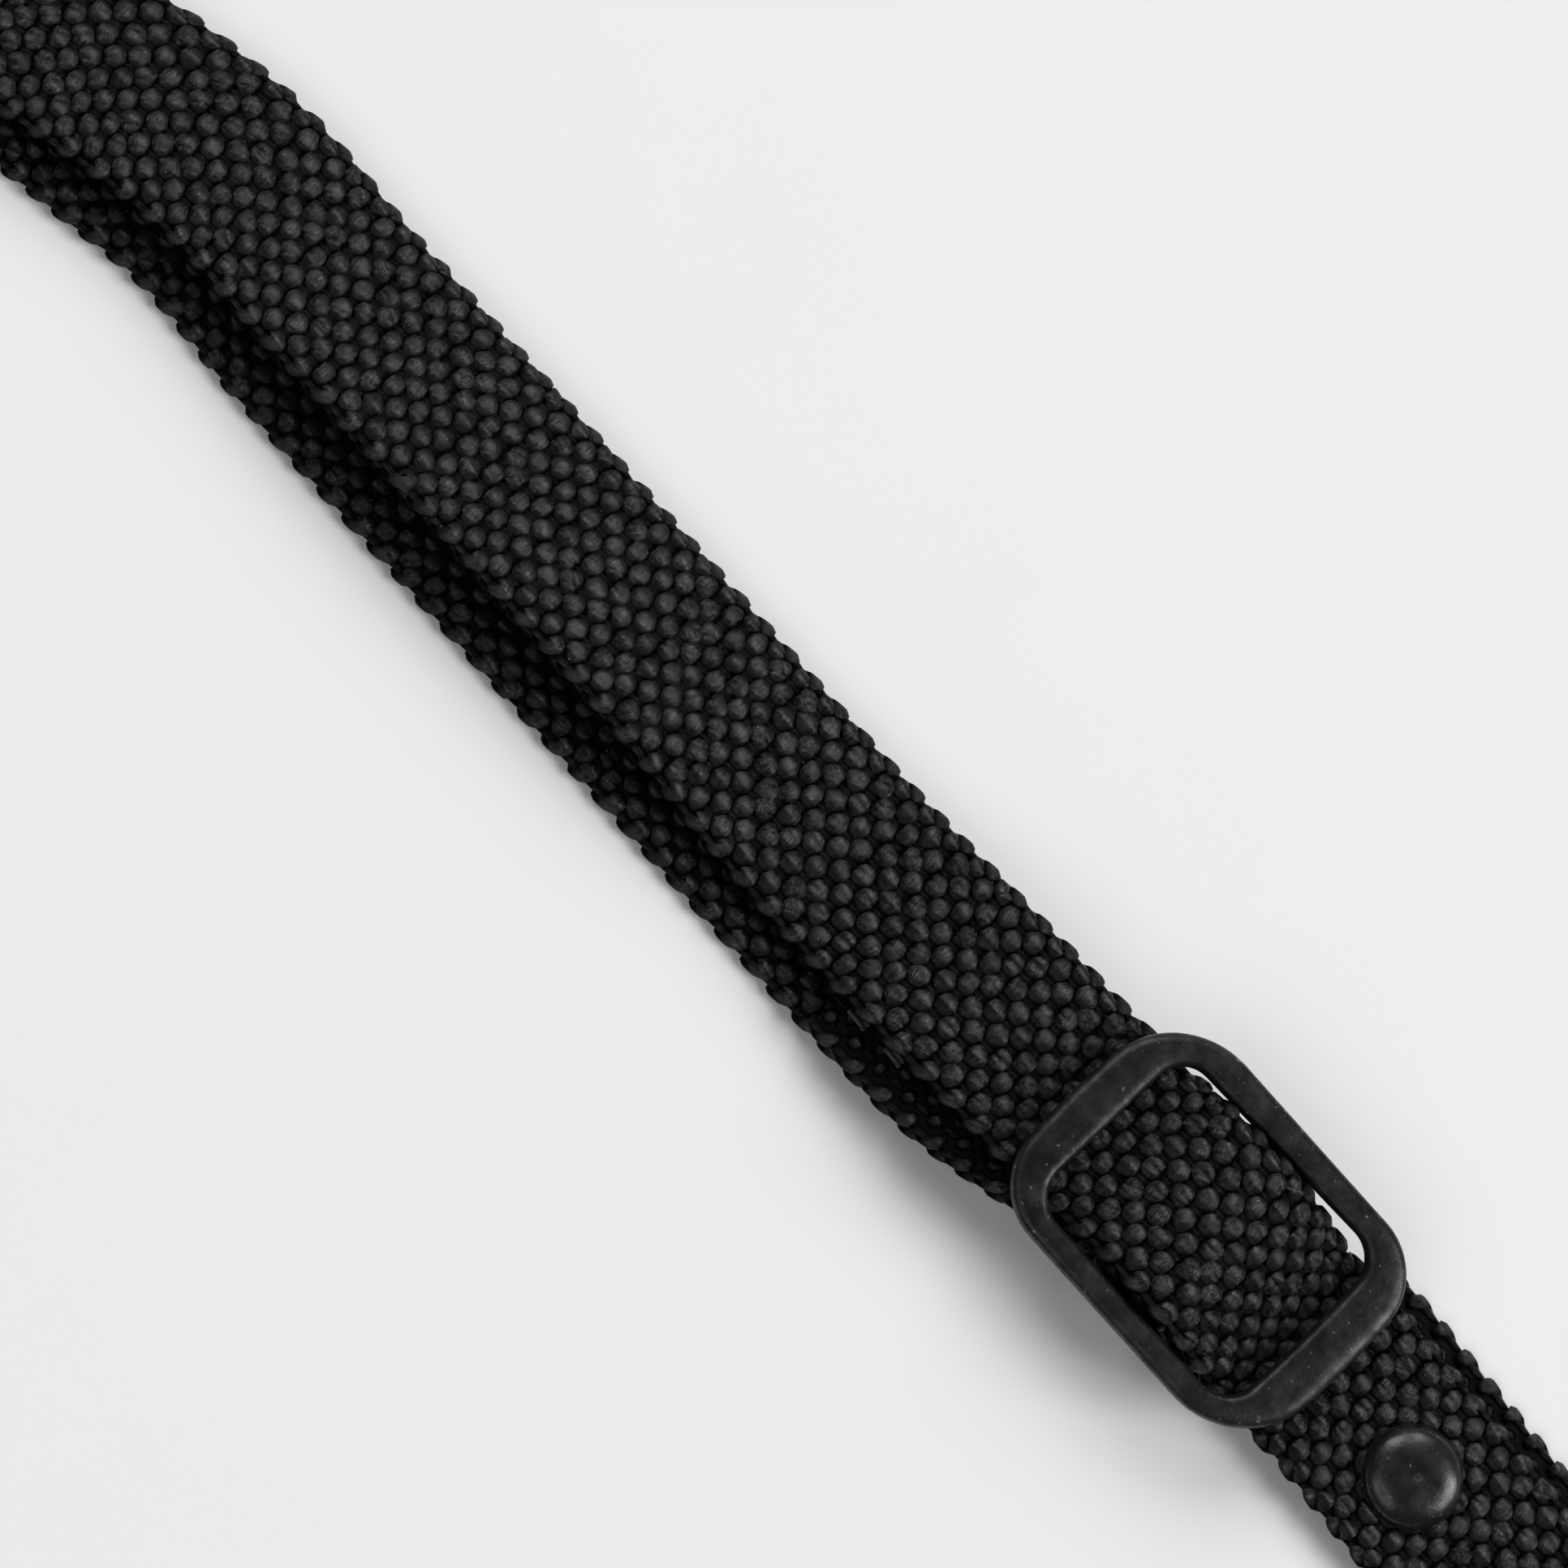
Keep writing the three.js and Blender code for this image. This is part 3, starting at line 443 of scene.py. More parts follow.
# ---------------------------------------------------------------- materials
class Nodes:
    """A material's node tree, with short ways to add and link nodes."""

    def __init__(self, name):
        self.material = bpy.data.materials.new(name)
        self.material.use_nodes = True
        self.tree = self.material.node_tree
        self.shader = self.tree.nodes["Principled BSDF"]

    def add(self, kind, **values):
        node = self.tree.nodes.new(kind)
        for key, value in values.items():
            if hasattr(node, key):
                setattr(node, key, value)
            else:
                node.inputs[key.replace("_", " ").title()].default_value = value
        return node

    def link(self, source, target):
        self.tree.links.new(source, target)

    def first(self, vector):
        """The first number of a vector."""
        node = self.add("ShaderNodeSeparateXYZ")
        self.link(vector, node.inputs["Vector"])
        return node.outputs["X"]

    def noise(self, vector, scale, detail=3.0, roughness=0.55):
        node = self.add("ShaderNodeTexNoise", scale=scale, detail=detail, roughness=roughness)
        self.link(vector, node.inputs["Vector"])
        return node.outputs["Fac"]

    def remap(self, value, low, high, to_low, to_high):
        node = self.add("ShaderNodeMapRange")
        limits = {"From Min": low, "From Max": high, "To Min": to_low, "To Max": to_high}
        for key, number in limits.items():
            node.inputs[key].default_value = number
        self.link(value, node.inputs["Value"])
        return node.outputs["Result"]

    def mix(self, factor, first, second):
        node = self.add("ShaderNodeMix", data_type="RGBA")
        for value, socket in ((factor, "Factor"), (first, "A"), (second, "B")):
            at = [s for s in node.inputs if s.name == socket and s.enabled][0]
            if isinstance(value, tuple):
                at.default_value = (*value, 1)
            else:
                self.link(value, at)
        return [s for s in node.outputs if s.enabled][0]

    def math(self, operation, first, second):
        node = self.add("ShaderNodeMath", operation=operation)
        for value, socket in ((first, node.inputs[0]), (second, node.inputs[1])):
            if isinstance(value, (int, float)):
                socket.default_value = value
            else:
                self.link(value, socket)
        return node.outputs[0]

    def bump(self, height, distance, strength=1.0, after=None):
        node = self.add("ShaderNodeBump", strength=strength, distance=distance)
        self.link(height, node.inputs["Height"])
        if after is not None:
            self.link(after, node.inputs["Normal"])
        return node.outputs["Normal"]

    def scaled(self, vector, scale):
        node = self.add("ShaderNodeMapping")
        node.inputs["Scale"].default_value = scale
        self.link(vector, node.inputs["Vector"])
        return node.outputs["Vector"]

    def place(self):
        return self.add("ShaderNodeTexCoord").outputs["Object"]

    def finish(self, color, roughness, normal=None, **plain):
        for value, socket in ((color, "Base Color"), (roughness, "Roughness"), (normal, "Normal")):
            if value is None:
                continue
            if isinstance(value, float):
                self.shader.inputs[socket].default_value = value
            else:
                self.link(value, self.shader.inputs[socket])
        for key, number in plain.items():
            socket = key.replace("_", " ").title().replace("Ior", "IOR")
            self.shader.inputs[socket].default_value = number
        return self.material


def gray(value):
    return (value, value, value * 1.02)


def webbing_material():
    n = Nodes("webbing")
    yarn = n.add("ShaderNodeUVMap", uv_map="yarn").outputs["UV"]
    filaments = n.noise(n.scaled(yarn, (0.9, 15.0, 1)), 1.0, 3.0, 0.6)
    fuzz = n.noise(n.scaled(yarn, (4.0, 16.0, 1)), 1.0, 2.0)
    patches = n.noise(n.place(), 260.0, 2.0)
    dust = n.noise(n.place(), 2600.0, 1.0)
    tone = n.mix(n.remap(patches, 0.3, 0.7, 0.0, 1.0), gray(0.0018), gray(0.0034))
    tone = n.mix(n.remap(filaments, 0.50, 0.70, 0.0, 0.8), tone, gray(0.012))
    # Painted shade: the "height" uv tells how high a point lies in the cloth; low points get a darker
    # colour and weaker reflections, as if shaded by the yarns round them.
    height = n.add("ShaderNodeUVMap", uv_map="height").outputs["UV"]
    out_of_painted_shade = n.remap(n.first(height), 0.60, 0.86, 0.06, 1.0)
    tone = n.mix(out_of_painted_shade, gray(0.0006), tone)  # painted shade: the yarns go dark where they lie low in the weave
    tone = n.mix(n.remap(dust, 0.77, 0.80, 0.0, 1.0), tone, gray(0.12))
    relief = n.math("ADD", filaments, n.math("MULTIPLY", fuzz, 0.12))
    normal = n.bump(relief, 0.00015, 0.9)
    rough = n.remap(fuzz, 0.3, 0.7, 0.16, 0.27)
    uneven = n.remap(n.noise(n.place(), 850.0, 2.0), 0.35, 0.65, 0.22, 0.42)
    gleam = n.math("MULTIPLY", uneven, n.remap(filaments, 0.38, 0.62, 0.45, 1.7))
    # painted shade on the reflections as well: they fade in the low parts of the weave
    n.link(n.math("MULTIPLY", out_of_painted_shade, gleam), n.shader.inputs["Specular IOR Level"])
    return n.finish(tone, rough, normal)


def core_material():
    n = Nodes("webbing_core")
    tone = n.mix(n.noise(n.place(), 900.0), gray(0.002), gray(0.006))
    return n.finish(tone, 0.95, ior=1.2)


def paint_material(name, base, rough, wear, specular=0.5):
    n = Nodes(name)
    fine = n.noise(n.place(), 3200.0, 2.0)
    broad = n.noise(n.place(), 330.0, 4.0)
    specks = n.noise(n.place(), 1900.0, 1.0)
    edge = n.add("ShaderNodeNewGeometry").outputs["Pointiness"]
    worn = n.math("MULTIPLY", n.remap(edge, 0.53, 0.60, 0.0, 1.0), n.remap(broad, 0.42, 0.62, 0.0, 1.0))
    tone = n.mix(n.remap(broad, 0.35, 0.7, 0.0, 1.0), gray(base), gray(base * 1.8))
    tone = n.mix(n.remap(specks, 0.72, 0.78, 0.0, 1.0), tone, gray(0.10))
    tone = n.mix(worn, tone, gray(wear))
    normal = n.bump(fine, 0.00003, 0.5)
    normal = n.bump(broad, 0.00012, 0.5, normal)
    sheen = n.remap(n.noise(n.place(), 620.0, 5.0, 0.6), 0.40, 0.60, 0.6 * specular, 1.25 * specular)
    n.link(sheen, n.shader.inputs["Specular IOR Level"])
    return n.finish(tone, n.remap(broad, 0.3, 0.7, *rough), normal)


def leather_material():
    n = Nodes("leather")
    cells = n.add("ShaderNodeTexVoronoi", scale=900.0, feature="DISTANCE_TO_EDGE")
    n.link(n.place(), cells.inputs["Vector"])
    grain = n.remap(cells.outputs["Distance"], 0.0, 0.25, 0.0, 1.0)
    broad = n.noise(n.place(), 120.0, 4.0)
    tone = n.mix(n.remap(broad, 0.3, 0.7, 0.0, 1.0), (0.011, 0.0105, 0.010), (0.022, 0.021, 0.020))
    normal = n.bump(grain, 0.00008, 0.6)
    normal = n.bump(broad, 0.0006, 0.4, normal)
    return n.finish(tone, n.remap(broad, 0.3, 0.7, 0.42, 0.6), normal)


def lining_material():
    n = Nodes("suede_lining")
    nap = n.noise(n.place(), 2400.0, 5.0, 0.7)
    broad = n.noise(n.place(), 90.0, 3.0)
    tone = n.mix(n.remap(broad, 0.3, 0.7, 0.0, 1.0), (0.022, 0.020, 0.019), (0.040, 0.037, 0.035))
    return n.finish(tone, 0.9, n.bump(nap, 0.00012, 0.8), sheen_weight=0.5, sheen_roughness=0.5)


def thread_material():
    n = Nodes("thread")
    wave = n.noise(n.place(), 5200.0, 2.0)
    tone = n.mix(wave, gray(0.018), gray(0.045))
    return n.finish(tone, 0.55, n.bump(wave, 0.00004, 0.7), sheen_weight=0.2)


def floor_material():
    n = Nodes("floor")
    tone = n.mix(n.noise(n.place(), 40.0, 2.0), (0.852, 0.852, 0.852), (0.862, 0.862, 0.862))
    return n.finish(tone, 0.9, n.bump(n.noise(n.place(), 1500.0), 0.00002, 0.3), specular_ior_level=0.0)


def dress(obj, material):
    obj.data.materials.clear()
    obj.data.materials.append(material)
    return obj


# ---------------------------------------------------------------- webbing pieces
def rivet_press(along, side, out):
    """The rivet squeezes the end stretch and pulls it down around its cap."""
    where = end.place(along, side, np.zeros_like(along))
    reach = np.hypot(where[:, 0] - RIVET["x"], where[:, 1] - RIVET["y"])
    squeeze = 1 - 0.45 * (1 - smooth(reach, 4.2, 6.2))
    return out * squeeze - 0.15 * (1 - smooth(reach, 4.2, 7.0))


def webbing_piece(node, strand, cuts, seed, press=None, **detail):
    """The core ribbon that stands for one webbing node's sheet, and the woven yarns on it.

    cuts are the places, in mm along the strand, where the yarns are split into separate meshes."""
    yarns = []
    cuts = [round(cut / PICK) * PICK if cut < strand.length else cut for cut in cuts]
    for k, (start, stop) in enumerate(zip(cuts, cuts[1:])):
        points, faces, uvs = weave(strand, start, stop, seed, press=press, **detail)
        yarns.append(dress(build(f"{node}_yarns_{k + 1}", points, faces, uvs), WEBBING))
    ribbon = dress(core(f"{node}_core", strand, cuts[0] + 0.1, cuts[-1] - 0.1, press), CORE)
    return ribbon, yarns


def bend_or_ride(obj, bodies):
    """The piece goes with its one body; given two, it stays where it was built and goes with neither."""
    if len(bodies) == 1:
        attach(obj, bodies[0])
    else:
        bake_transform(obj)


def place_webbing(node, ribbon, yarns, bodies, length, held, rests_on):
    """Puts a strand's pieces on their body or bodies and hides the CAD node they stand for."""
    for obj in [ribbon, *yarns]:
        bend_or_ride(obj, bodies)
    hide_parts(node)


def make_webbing():
    near = ("webbing", "slider")
    fine = {"weft_steps": 6, "weft_sides": 10, "warp_steps": 6, "warp_sides": 6}
    plain = {"weft_steps": 3, "weft_sides": 6, "warp_steps": 3, "warp_sides": 4}
    parts = webbing_piece("webbing_upper", upper, [0, upper.length / 2, upper.length], 11, **fine)
    place_webbing("webbing_upper", *parts, near, upper.length, "laid", ["webbing_lower_core"])
    parts = webbing_piece("webbing_lower", lower, [0, lower.length / 2, lower.length], 23, **fine)
    place_webbing("webbing_lower", *parts, near, lower.length, "folded", ["floor"])
    parts = webbing_piece("webbing_end", end, [0, 92, end.length], 37, press=rivet_press, face=-1, **fine)
    place_webbing("webbing_end", *parts, ("webbing",), end.length, "folded", ["floor"])
    third = far_upper.length / 3
    there = webbing_piece("webbing_far", far_upper, [0, third, 2 * third, far_upper.length], 51, **plain)
    back = webbing_piece("webbing_return", far_lower, [0, third, 2 * third, far_lower.length], 67, **plain)
    place_webbing("webbing_far", *there, ("webbing",), far_upper.length, "laid", ["floor"])
    place_webbing("webbing_far", *back, ("webbing",), far_lower.length, "laid", ["floor"])


# ---------------------------------------------------------------- slide
def rounded_outline(corners, radius, per_side=40, per_corner=16):
    """Points round a four-sided outline with rounded corners, the same number on each part.

    corners go round anticlockwise from the one at +X, +Y; radius is one number or one for each."""
    radii = np.broadcast_to(radius, 4)
    points = []
    for k, corner in enumerate(corners):
        corner, before = np.array(corner, float), np.array(corners[k - 1], float)
        after = np.array(corners[(k + 1) % 4], float)
        in_way = (before - corner) / np.linalg.norm(before - corner)
        out_way = (after - corner) / np.linalg.norm(after - corner)
        t = np.linspace(0, math.pi / 2, per_corner)[:, None]
        points.append(corner + radii[k] * ((1 - np.sin(t)) * in_way + (1 - np.cos(t)) * out_way))
        begin, stop = corner + radii[k] * out_way, after - radii[(k + 1) % 4] * out_way
        t = np.linspace(0, 1, per_side + 2)[1:-1, None]
        points.append(begin * (1 - t) + stop * t)
    return np.vstack(points)


def box_corners(x0, x1, y0, y1, far_inset=0.0):
    """A rectangle's corners for rounded_outline; far_inset narrows it at its -X, +Y corner."""
    return [(x1, y1), (x0, y1 - far_inset), (x0, y0), (x1, y0)]


def frame_loop():
    """Points and faces of the slide's frame: bars of rounded section, the underside at height 0."""
    half_y = WINDOW["width"] / 2 + BARS["side"]
    x0 = -WINDOW["far"] - BARS["far"] + BOW["outer"]
    x1 = WINDOW["near"] + BARS["near"] - BOW["outer"]
    outer = rounded_outline(box_corners(x0, x1, -half_y, half_y), CORNERS)
    bow = BOW["outer"] * np.clip(1 - (outer[:, 1] / half_y)**2, 0, 1)
    outer[:, 0] += bow * np.sign(outer[:, 0]) * (np.abs(outer[:, 0]) > 10)
    inner = rounded_outline(box_corners(-WINDOW["far"], WINDOW["near"], -WINDOW["width"] / 2,
                                        WINDOW["width"] / 2, WINDOW["taper"]), WINDOW["corner"])
    inner[:, 0] -= BOW["inner"] * (inner[:, 1] / half_y)**2 * (inner[:, 0] > 10)
    sides = 28
    angle = np.linspace(0, 2 * math.pi, sides, endpoint=False)
    edge = np.where(np.cos(angle) > 0, 0.62, 0.4)  # a soft outer edge and a sharper inner one
    across = 0.5 + 0.5 * np.sign(np.cos(angle)) * np.abs(np.cos(angle))**edge
    level = np.sign(np.sin(angle)) * np.abs(np.sin(angle))**0.85
    rings = inner[:, None] * (1 - across[None, :, None]) + outer[:, None] * across[None, :, None]
    z = np.broadcast_to(FRAME_THICKNESS / 2 * (1 + level), rings.shape[:2])
    return np.concatenate([rings, z[..., None]], -1).reshape(-1, 3), loop_faces(len(outer), sides)


def centre_bar(first):
    """Points and faces of the dropped centre bar, which flares into the frame's sides."""
    reach = WINDOW["width"] / 2 + BARS["side"] - FLARE["inset"]
    y = np.linspace(-reach, reach, 81)
    flare = np.clip((np.abs(y) - WINDOW["width"] / 2 + FLARE["from"]) / FLARE["run"], 0, 1)**2
    half_width = BAR_WIDTH / 2 + FLARE["reach"] * flare
    sides = 20
    angle = np.linspace(0, 2 * math.pi, sides, endpoint=False)
    x = half_width[:, None] * (np.sign(np.cos(angle)) * np.abs(np.cos(angle))**0.6)[None]
    height = -BAR_DROP + BAR_THICKNESS / 2 + FLARE["lift"] * flare
    half_height = BAR_THICKNESS / 2 + FLARE["thicken"] * flare
    z = height[:, None] + half_height[:, None] * np.sin(angle)[None]
    bar = np.stack([x, np.broadcast_to(y[:, None], x.shape), z], -1).reshape(-1, 3)
    return bar, tube_faces(len(y), sides, first)


def slide_shape():
    """The one-piece slide, in its place over the strands."""
    loop, loop_quads = frame_loop()
    bar, bar_quads = centre_bar(len(loop))
    turn = Matrix.Rotation(FRAME_YAW, 3, "Z") @ Matrix.Rotation(FRAME_TILT, 3, "Y")
    points = np.vstack([loop, bar]) @ np.array(turn).T + [0, FRAME_Y, FRAME_HEIGHT]
    obj = build("slide", points, np.vstack([loop_quads, bar_quads]))
    fuse(obj, voxel=0.2, rounds=5)
    return obj


def fuse(obj, voxel, rounds):
    """Joins a mesh's overlapping bodies into one skin with soft fillets."""
    remesh = obj.modifiers.new("remesh", "REMESH")
    remesh.mode, remesh.voxel_size, remesh.use_smooth_shade = "VOXEL", voxel * MM, True
    ease = obj.modifiers.new("ease", "SMOOTH")
    ease.factor, ease.iterations = 0.5, rounds
    bake(obj)


def bake(obj):
    """Gives the object the mesh that its modifiers make, and drops them."""
    graph = bpy.context.evaluated_depsgraph_get()
    mesh = bpy.data.meshes.new_from_object(obj.evaluated_get(graph))
    obj.modifiers.clear()
    old, obj.data = obj.data, mesh
    bpy.data.meshes.remove(old)


# ---------------------------------------------------------------- turned and swept metal
def lathe(name, profile, at, sides=64):
    """A turned part about a vertical axis, from (radius, height) points that start and end on it."""
    profile = np.array(profile, float)
    angle = np.linspace(0, 2 * math.pi, sides, endpoint=False)
    radius = np.maximum(profile[:, 0], 1e-3)
    rings = np.stack([radius[:, None] * np.cos(angle), radius[:, None] * np.sin(angle),
                      np.broadcast_to(profile[:, 1:], (len(profile), sides))], -1)
    return build(name, rings.reshape(-1, 3) + at, tube_faces(len(profile), sides)[:, ::-1])


def dome_profile(radius, crown, seat=0.15):
    """A shallow cap: a nearly flat crown, a round shoulder and a thin rolled rim."""
    r = radius * np.sin(np.linspace(0, math.pi / 2, 28))
    z = crown * (1 - (r / radius)**3.4)**0.55
    top = np.stack([r, z + 0.32], -1)
    rim = radius + 0.12 * np.sin(np.linspace(0, math.pi, 8))
    edge = np.stack([rim, np.linspace(0.32, 0, 8)], -1)
    under = [[radius - 0.5, 0.05], [radius - 0.7, seat], [0.8, seat], [0.8, -0.8], [0, -0.8]]
    return np.vstack([top[:-1], edge, under])


def ring_shape():
    half_x, half_y = RING_SPACING / 2, RING_WIDTH / 2 + RING_WIRE
    line = rounded_outline(box_corners(-half_x, half_x, -half_y, half_y), RING_CORNER, 14, 10)
    sides = 16
    along = np.roll(line, -1, 0) - np.roll(line, 1, 0)
    outward = np.stack([along[:, 1], -along[:, 0]], -1)
    outward /= np.linalg.norm(outward, axis=1)[:, None]
    angle = np.linspace(0, 2 * math.pi, sides, endpoint=False)
    rings = line[:, None] + outward[:, None] * (RING_WIRE * np.cos(angle))[None, :, None]
    z = np.broadcast_to(RING_WIRE * np.sin(angle), rings.shape[:2])
    points = np.concatenate([rings, z[..., None]], -1).reshape(-1, 3)
    centre = [RING_X + half_x, return_middle_y(), RING_HEIGHT]
    return build("ring_wire", points + centre, loop_faces(len(line), sides))


def return_middle_y():
    at, _ = plan_at(np.array([RING_AT]))
    return float(at[0, 1]) + WIDTH / 2


# ---------------------------------------------------------------- leather
def plate(name, loops, low, high, edge=0.45):
    """A flat piece with rounded edges from a closed outline and its holes, all in the XY plane."""
    curve = bpy.data.curves.new(name, "CURVE")
    curve.dimensions, curve.fill_mode = "2D", "BOTH"
    curve.extrude = ((high - low) / 2 - edge) * MM
    curve.bevel_depth, curve.offset, curve.bevel_resolution = edge * MM, -edge * MM, 3
    for loop in loops:
        spline_part = curve.splines.new("POLY")
        spline_part.points.add(len(loop) - 1)
        for point, (x, y) in zip(spline_part.points, loop):
            point.co = (x * MM, y * MM, 0, 1)
        spline_part.use_cyclic_u = True
    source = new_object(name, curve)
    graph = bpy.context.evaluated_depsgraph_get()
    mesh = bpy.data.meshes.new_from_object(source.evaluated_get(graph))
    bpy.data.objects.remove(source)
    mesh.transform(Matrix.Translation((0, 0, (low + high) / 2 * MM)))
    return new_object(name, mesh)


def arc_loop(x, y, radius, start, end, steps=24):
    return [tuple(p) for p in arc((x, y), radius, start, end, steps)]


def button_hole(x):
    start = math.degrees(math.asin(BUTTON_SLIT / BUTTON_HOLE))
    far = x - BUTTON_HOLE - SLIT_LENGTH
    return (arc_loop(x, 0, BUTTON_HOLE, 180 - start, -180 + start, 40)
            + arc_loop(far, 0, BUTTON_SLIT, 270, 90, 10))


def straight_loop(points, step=2.0):
    """A closed loop through the points with extra ones along its long sides."""
    loop = []
    for a, b in zip(points, points[1:] + points[:1]):
        count = max(1, round(math.dist(a, b) / step))
        loop += [(a[0] + (b[0] - a[0]) * k / count, a[1] + (b[1] - a[1]) * k / count)
                 for k in range(count)]
    return loop


def tab_a_outline(inset):
    half, tip = TAB_A["half"] - inset, TAB_TIP - inset
    tip_at = TAB_A["length"] - TAB_TIP
    rounded_tip = arc_loop(tip_at, 0, tip, -90, 90, 30)
    return straight_loop([(-TAB_A["strip"], half), (-TAB_A["strip"], -half), *rounded_tip])


def tab_b_outline(start, inset):
    neck, tip = TAB_B["neck"] - inset, TAB_TIP - inset
    tip_at = TAB_B["length"] - TAB_TIP
    x = np.linspace(TAB_B["widens"], TAB_B["wide"], 16)
    y = neck + (tip - neck) * smooth(x, TAB_B["widens"], TAB_B["wide"])
    right = list(zip(x, -y))
    left = [(a, -b) for a, b in reversed(right)]
    return straight_loop([(start, neck), (start, -neck), *right, *arc_loop(tip_at, 0, tip, -90, 90, 30),
                          *left])


def soften(obj, waviness, voxel=0.34, rounds=4):
    """Leather is one soft skin: edges rounded, the faces a little uneven."""
    fuse(obj, voxel, rounds)
    texture = bpy.data.textures.new(obj.name, "CLOUDS")
    texture.noise_scale = 0.017
    uneven = obj.modifiers.new("uneven", "DISPLACE")
    uneven.texture, uneven.strength, uneven.mid_level = texture, waviness * MM, 0.5
    uneven.texture_coords = "LOCAL"
    bake(obj)


def join(name, *objs):
    """One object from several mesh objects."""
    meshes = [(o.data, o.matrix_world.copy()) for o in objs]
    points, faces, count = [], [], 0
    for mesh, matrix in meshes:
        mesh.transform(matrix)
        points += [v.co[:] for v in mesh.vertices]
        faces += [[count + i for i in p.vertices] for p in mesh.polygons]
        count += len(mesh.vertices)
    whole = bpy.data.meshes.new(name)
    whole.from_pydata(points, [], faces)
    whole.validate()
    whole.shade_smooth()
    for o in objs:
        bpy.data.objects.remove(o)
    return new_object(name, whole)


def stitches(name, loop, height, place, pitch=4.0, radius=0.38):
    """A row of stitches along a line: each a short thread that dips into the leather at its ends."""
    line = respaced(np.array(loop + loop[:1], float))
    along = np.concatenate([[0], np.cumsum(np.linalg.norm(np.diff(line, axis=0), axis=1))])
    count = int(along[-1] / pitch)
    points, faces, sides, rings = [], [], 8, 9
    for k in range(count):
        t = (k + np.linspace(0.1, 0.9, rings)) * along[-1] / count
        x, y = np.interp(t, along, line[:, 0]), np.interp(t, along, line[:, 1])
        sink = np.linspace(-1, 1, rings)**4
        path = np.stack([x, y, height + radius * 0.35 - 0.75 * sink], -1)
        shape, _ = tube(path, np.full(rings, radius), np.full(rings, radius * 0.8), sides)
        faces.append(tube_faces(rings, sides, k * rings * sides))
        points.append(shape)
    obj = build(name, np.vstack(points), np.vstack(faces))
    obj.data.transform(place)
    return obj


def thread_bar(name, distance, reach=2.2, width=12.0, count=22):
    """A bar tack: a close row of short threads across the loop's tail."""
    points, faces, sides, rings = [], [], 6, 9
    for k in range(count):
        side = (k / (count - 1) - 0.5) * width
        t = np.linspace(-0.5, 0.5, rings)
        along = np.full(rings, tail_run(distance + reach / 2)) + t * reach
        out = THICKNESS / 2 + 0.2 - 0.5 * (2 * t)**6
        path = np.stack([along, side + 0.2 * t, -out * np.ones(rings)], -1)
        shape, _ = tube(path, np.full(rings, 0.27), np.full(rings, 0.2), sides)
        points.append(lower.place(*shape.T))
        faces.append(tube_faces(rings, sides, k * rings * sides))
    return build(name, np.vstack(points), np.vstack(faces))


def tail_run(distance):
    """How far along the lower strand its tail passes a given distance from the centre bar."""
    tail_length = np.linalg.norm(np.diff(tail_side, axis=0), axis=1).sum()
    return float(np.interp(-distance, -tail_side[:, 0], np.linspace(0, tail_length, len(tail_side))))


def finish_tab(tab, leather, lining, seam, at, waviness):
    """Softens a tab's two layers and puts them, with the stitches, on the tab's body."""
    for obj, material, layer in ((leather, LEATHER, "leather"), (lining, LINING, "lining")):
        soften(obj, waviness)
        obj.data.transform(at)
        dress(obj, material)
        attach(obj, tab)
        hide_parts(f"{tab}_{layer}")
    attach(dress(seam, THREAD), tab)


def make_tab_a():
    stack = TAB_A["leather"] + TAB_A["lining"] + GAP
    axis_height = FOLD_A_RADIUS + MID
    lean = math.asin((axis_height - stack / 2 - 0.1) / TAB_A["length"])
    at = (Matrix.Translation(Vector((FOLD_A_X, TAB_A["y"], axis_height)) * MM)
          @ Matrix.Rotation(lean, 4, "Y"))
    half = TAB_A["slot_half"]
    slot = straight_loop([(TAB_A["strip"], -half), (TAB_A["slot_end"], -half),
                          (TAB_A["slot_end"], half), (TAB_A["strip"], half)])
    hole = button_hole(TAB_A["length"] - BUTTON_FROM_TIP)
    top, under = stack / 2, -stack / 2
    leather = plate("tab_a_skin", [tab_a_outline(0.1), slot, hole], top - TAB_A["leather"], top)
    lining = plate("tab_a_suede", [tab_a_outline(0.6), slot, hole], under, under + TAB_A["lining"], 0.3)
    seam = stitches("tab_a_stitches", tab_a_seam(), top, at)
    finish_tab("tab_a", leather, lining, seam, at, waviness=0.25)


def tab_a_seam():
    half, tip = TAB_A["half"] - TAB_A["seam_inset"], TAB_TIP - TAB_A["seam_inset"]
    tip_at, start = TAB_A["length"] - TAB_TIP, TAB_A["seam_from"]
    return [(start, half), (start, -half), *arc_loop(tip_at, 0, tip, -90, 90, 30)]


def tab_b_seam():
    return tab_b_outline(TAB_B["lining_from"] + 3.0, TAB_B["seam_inset"])


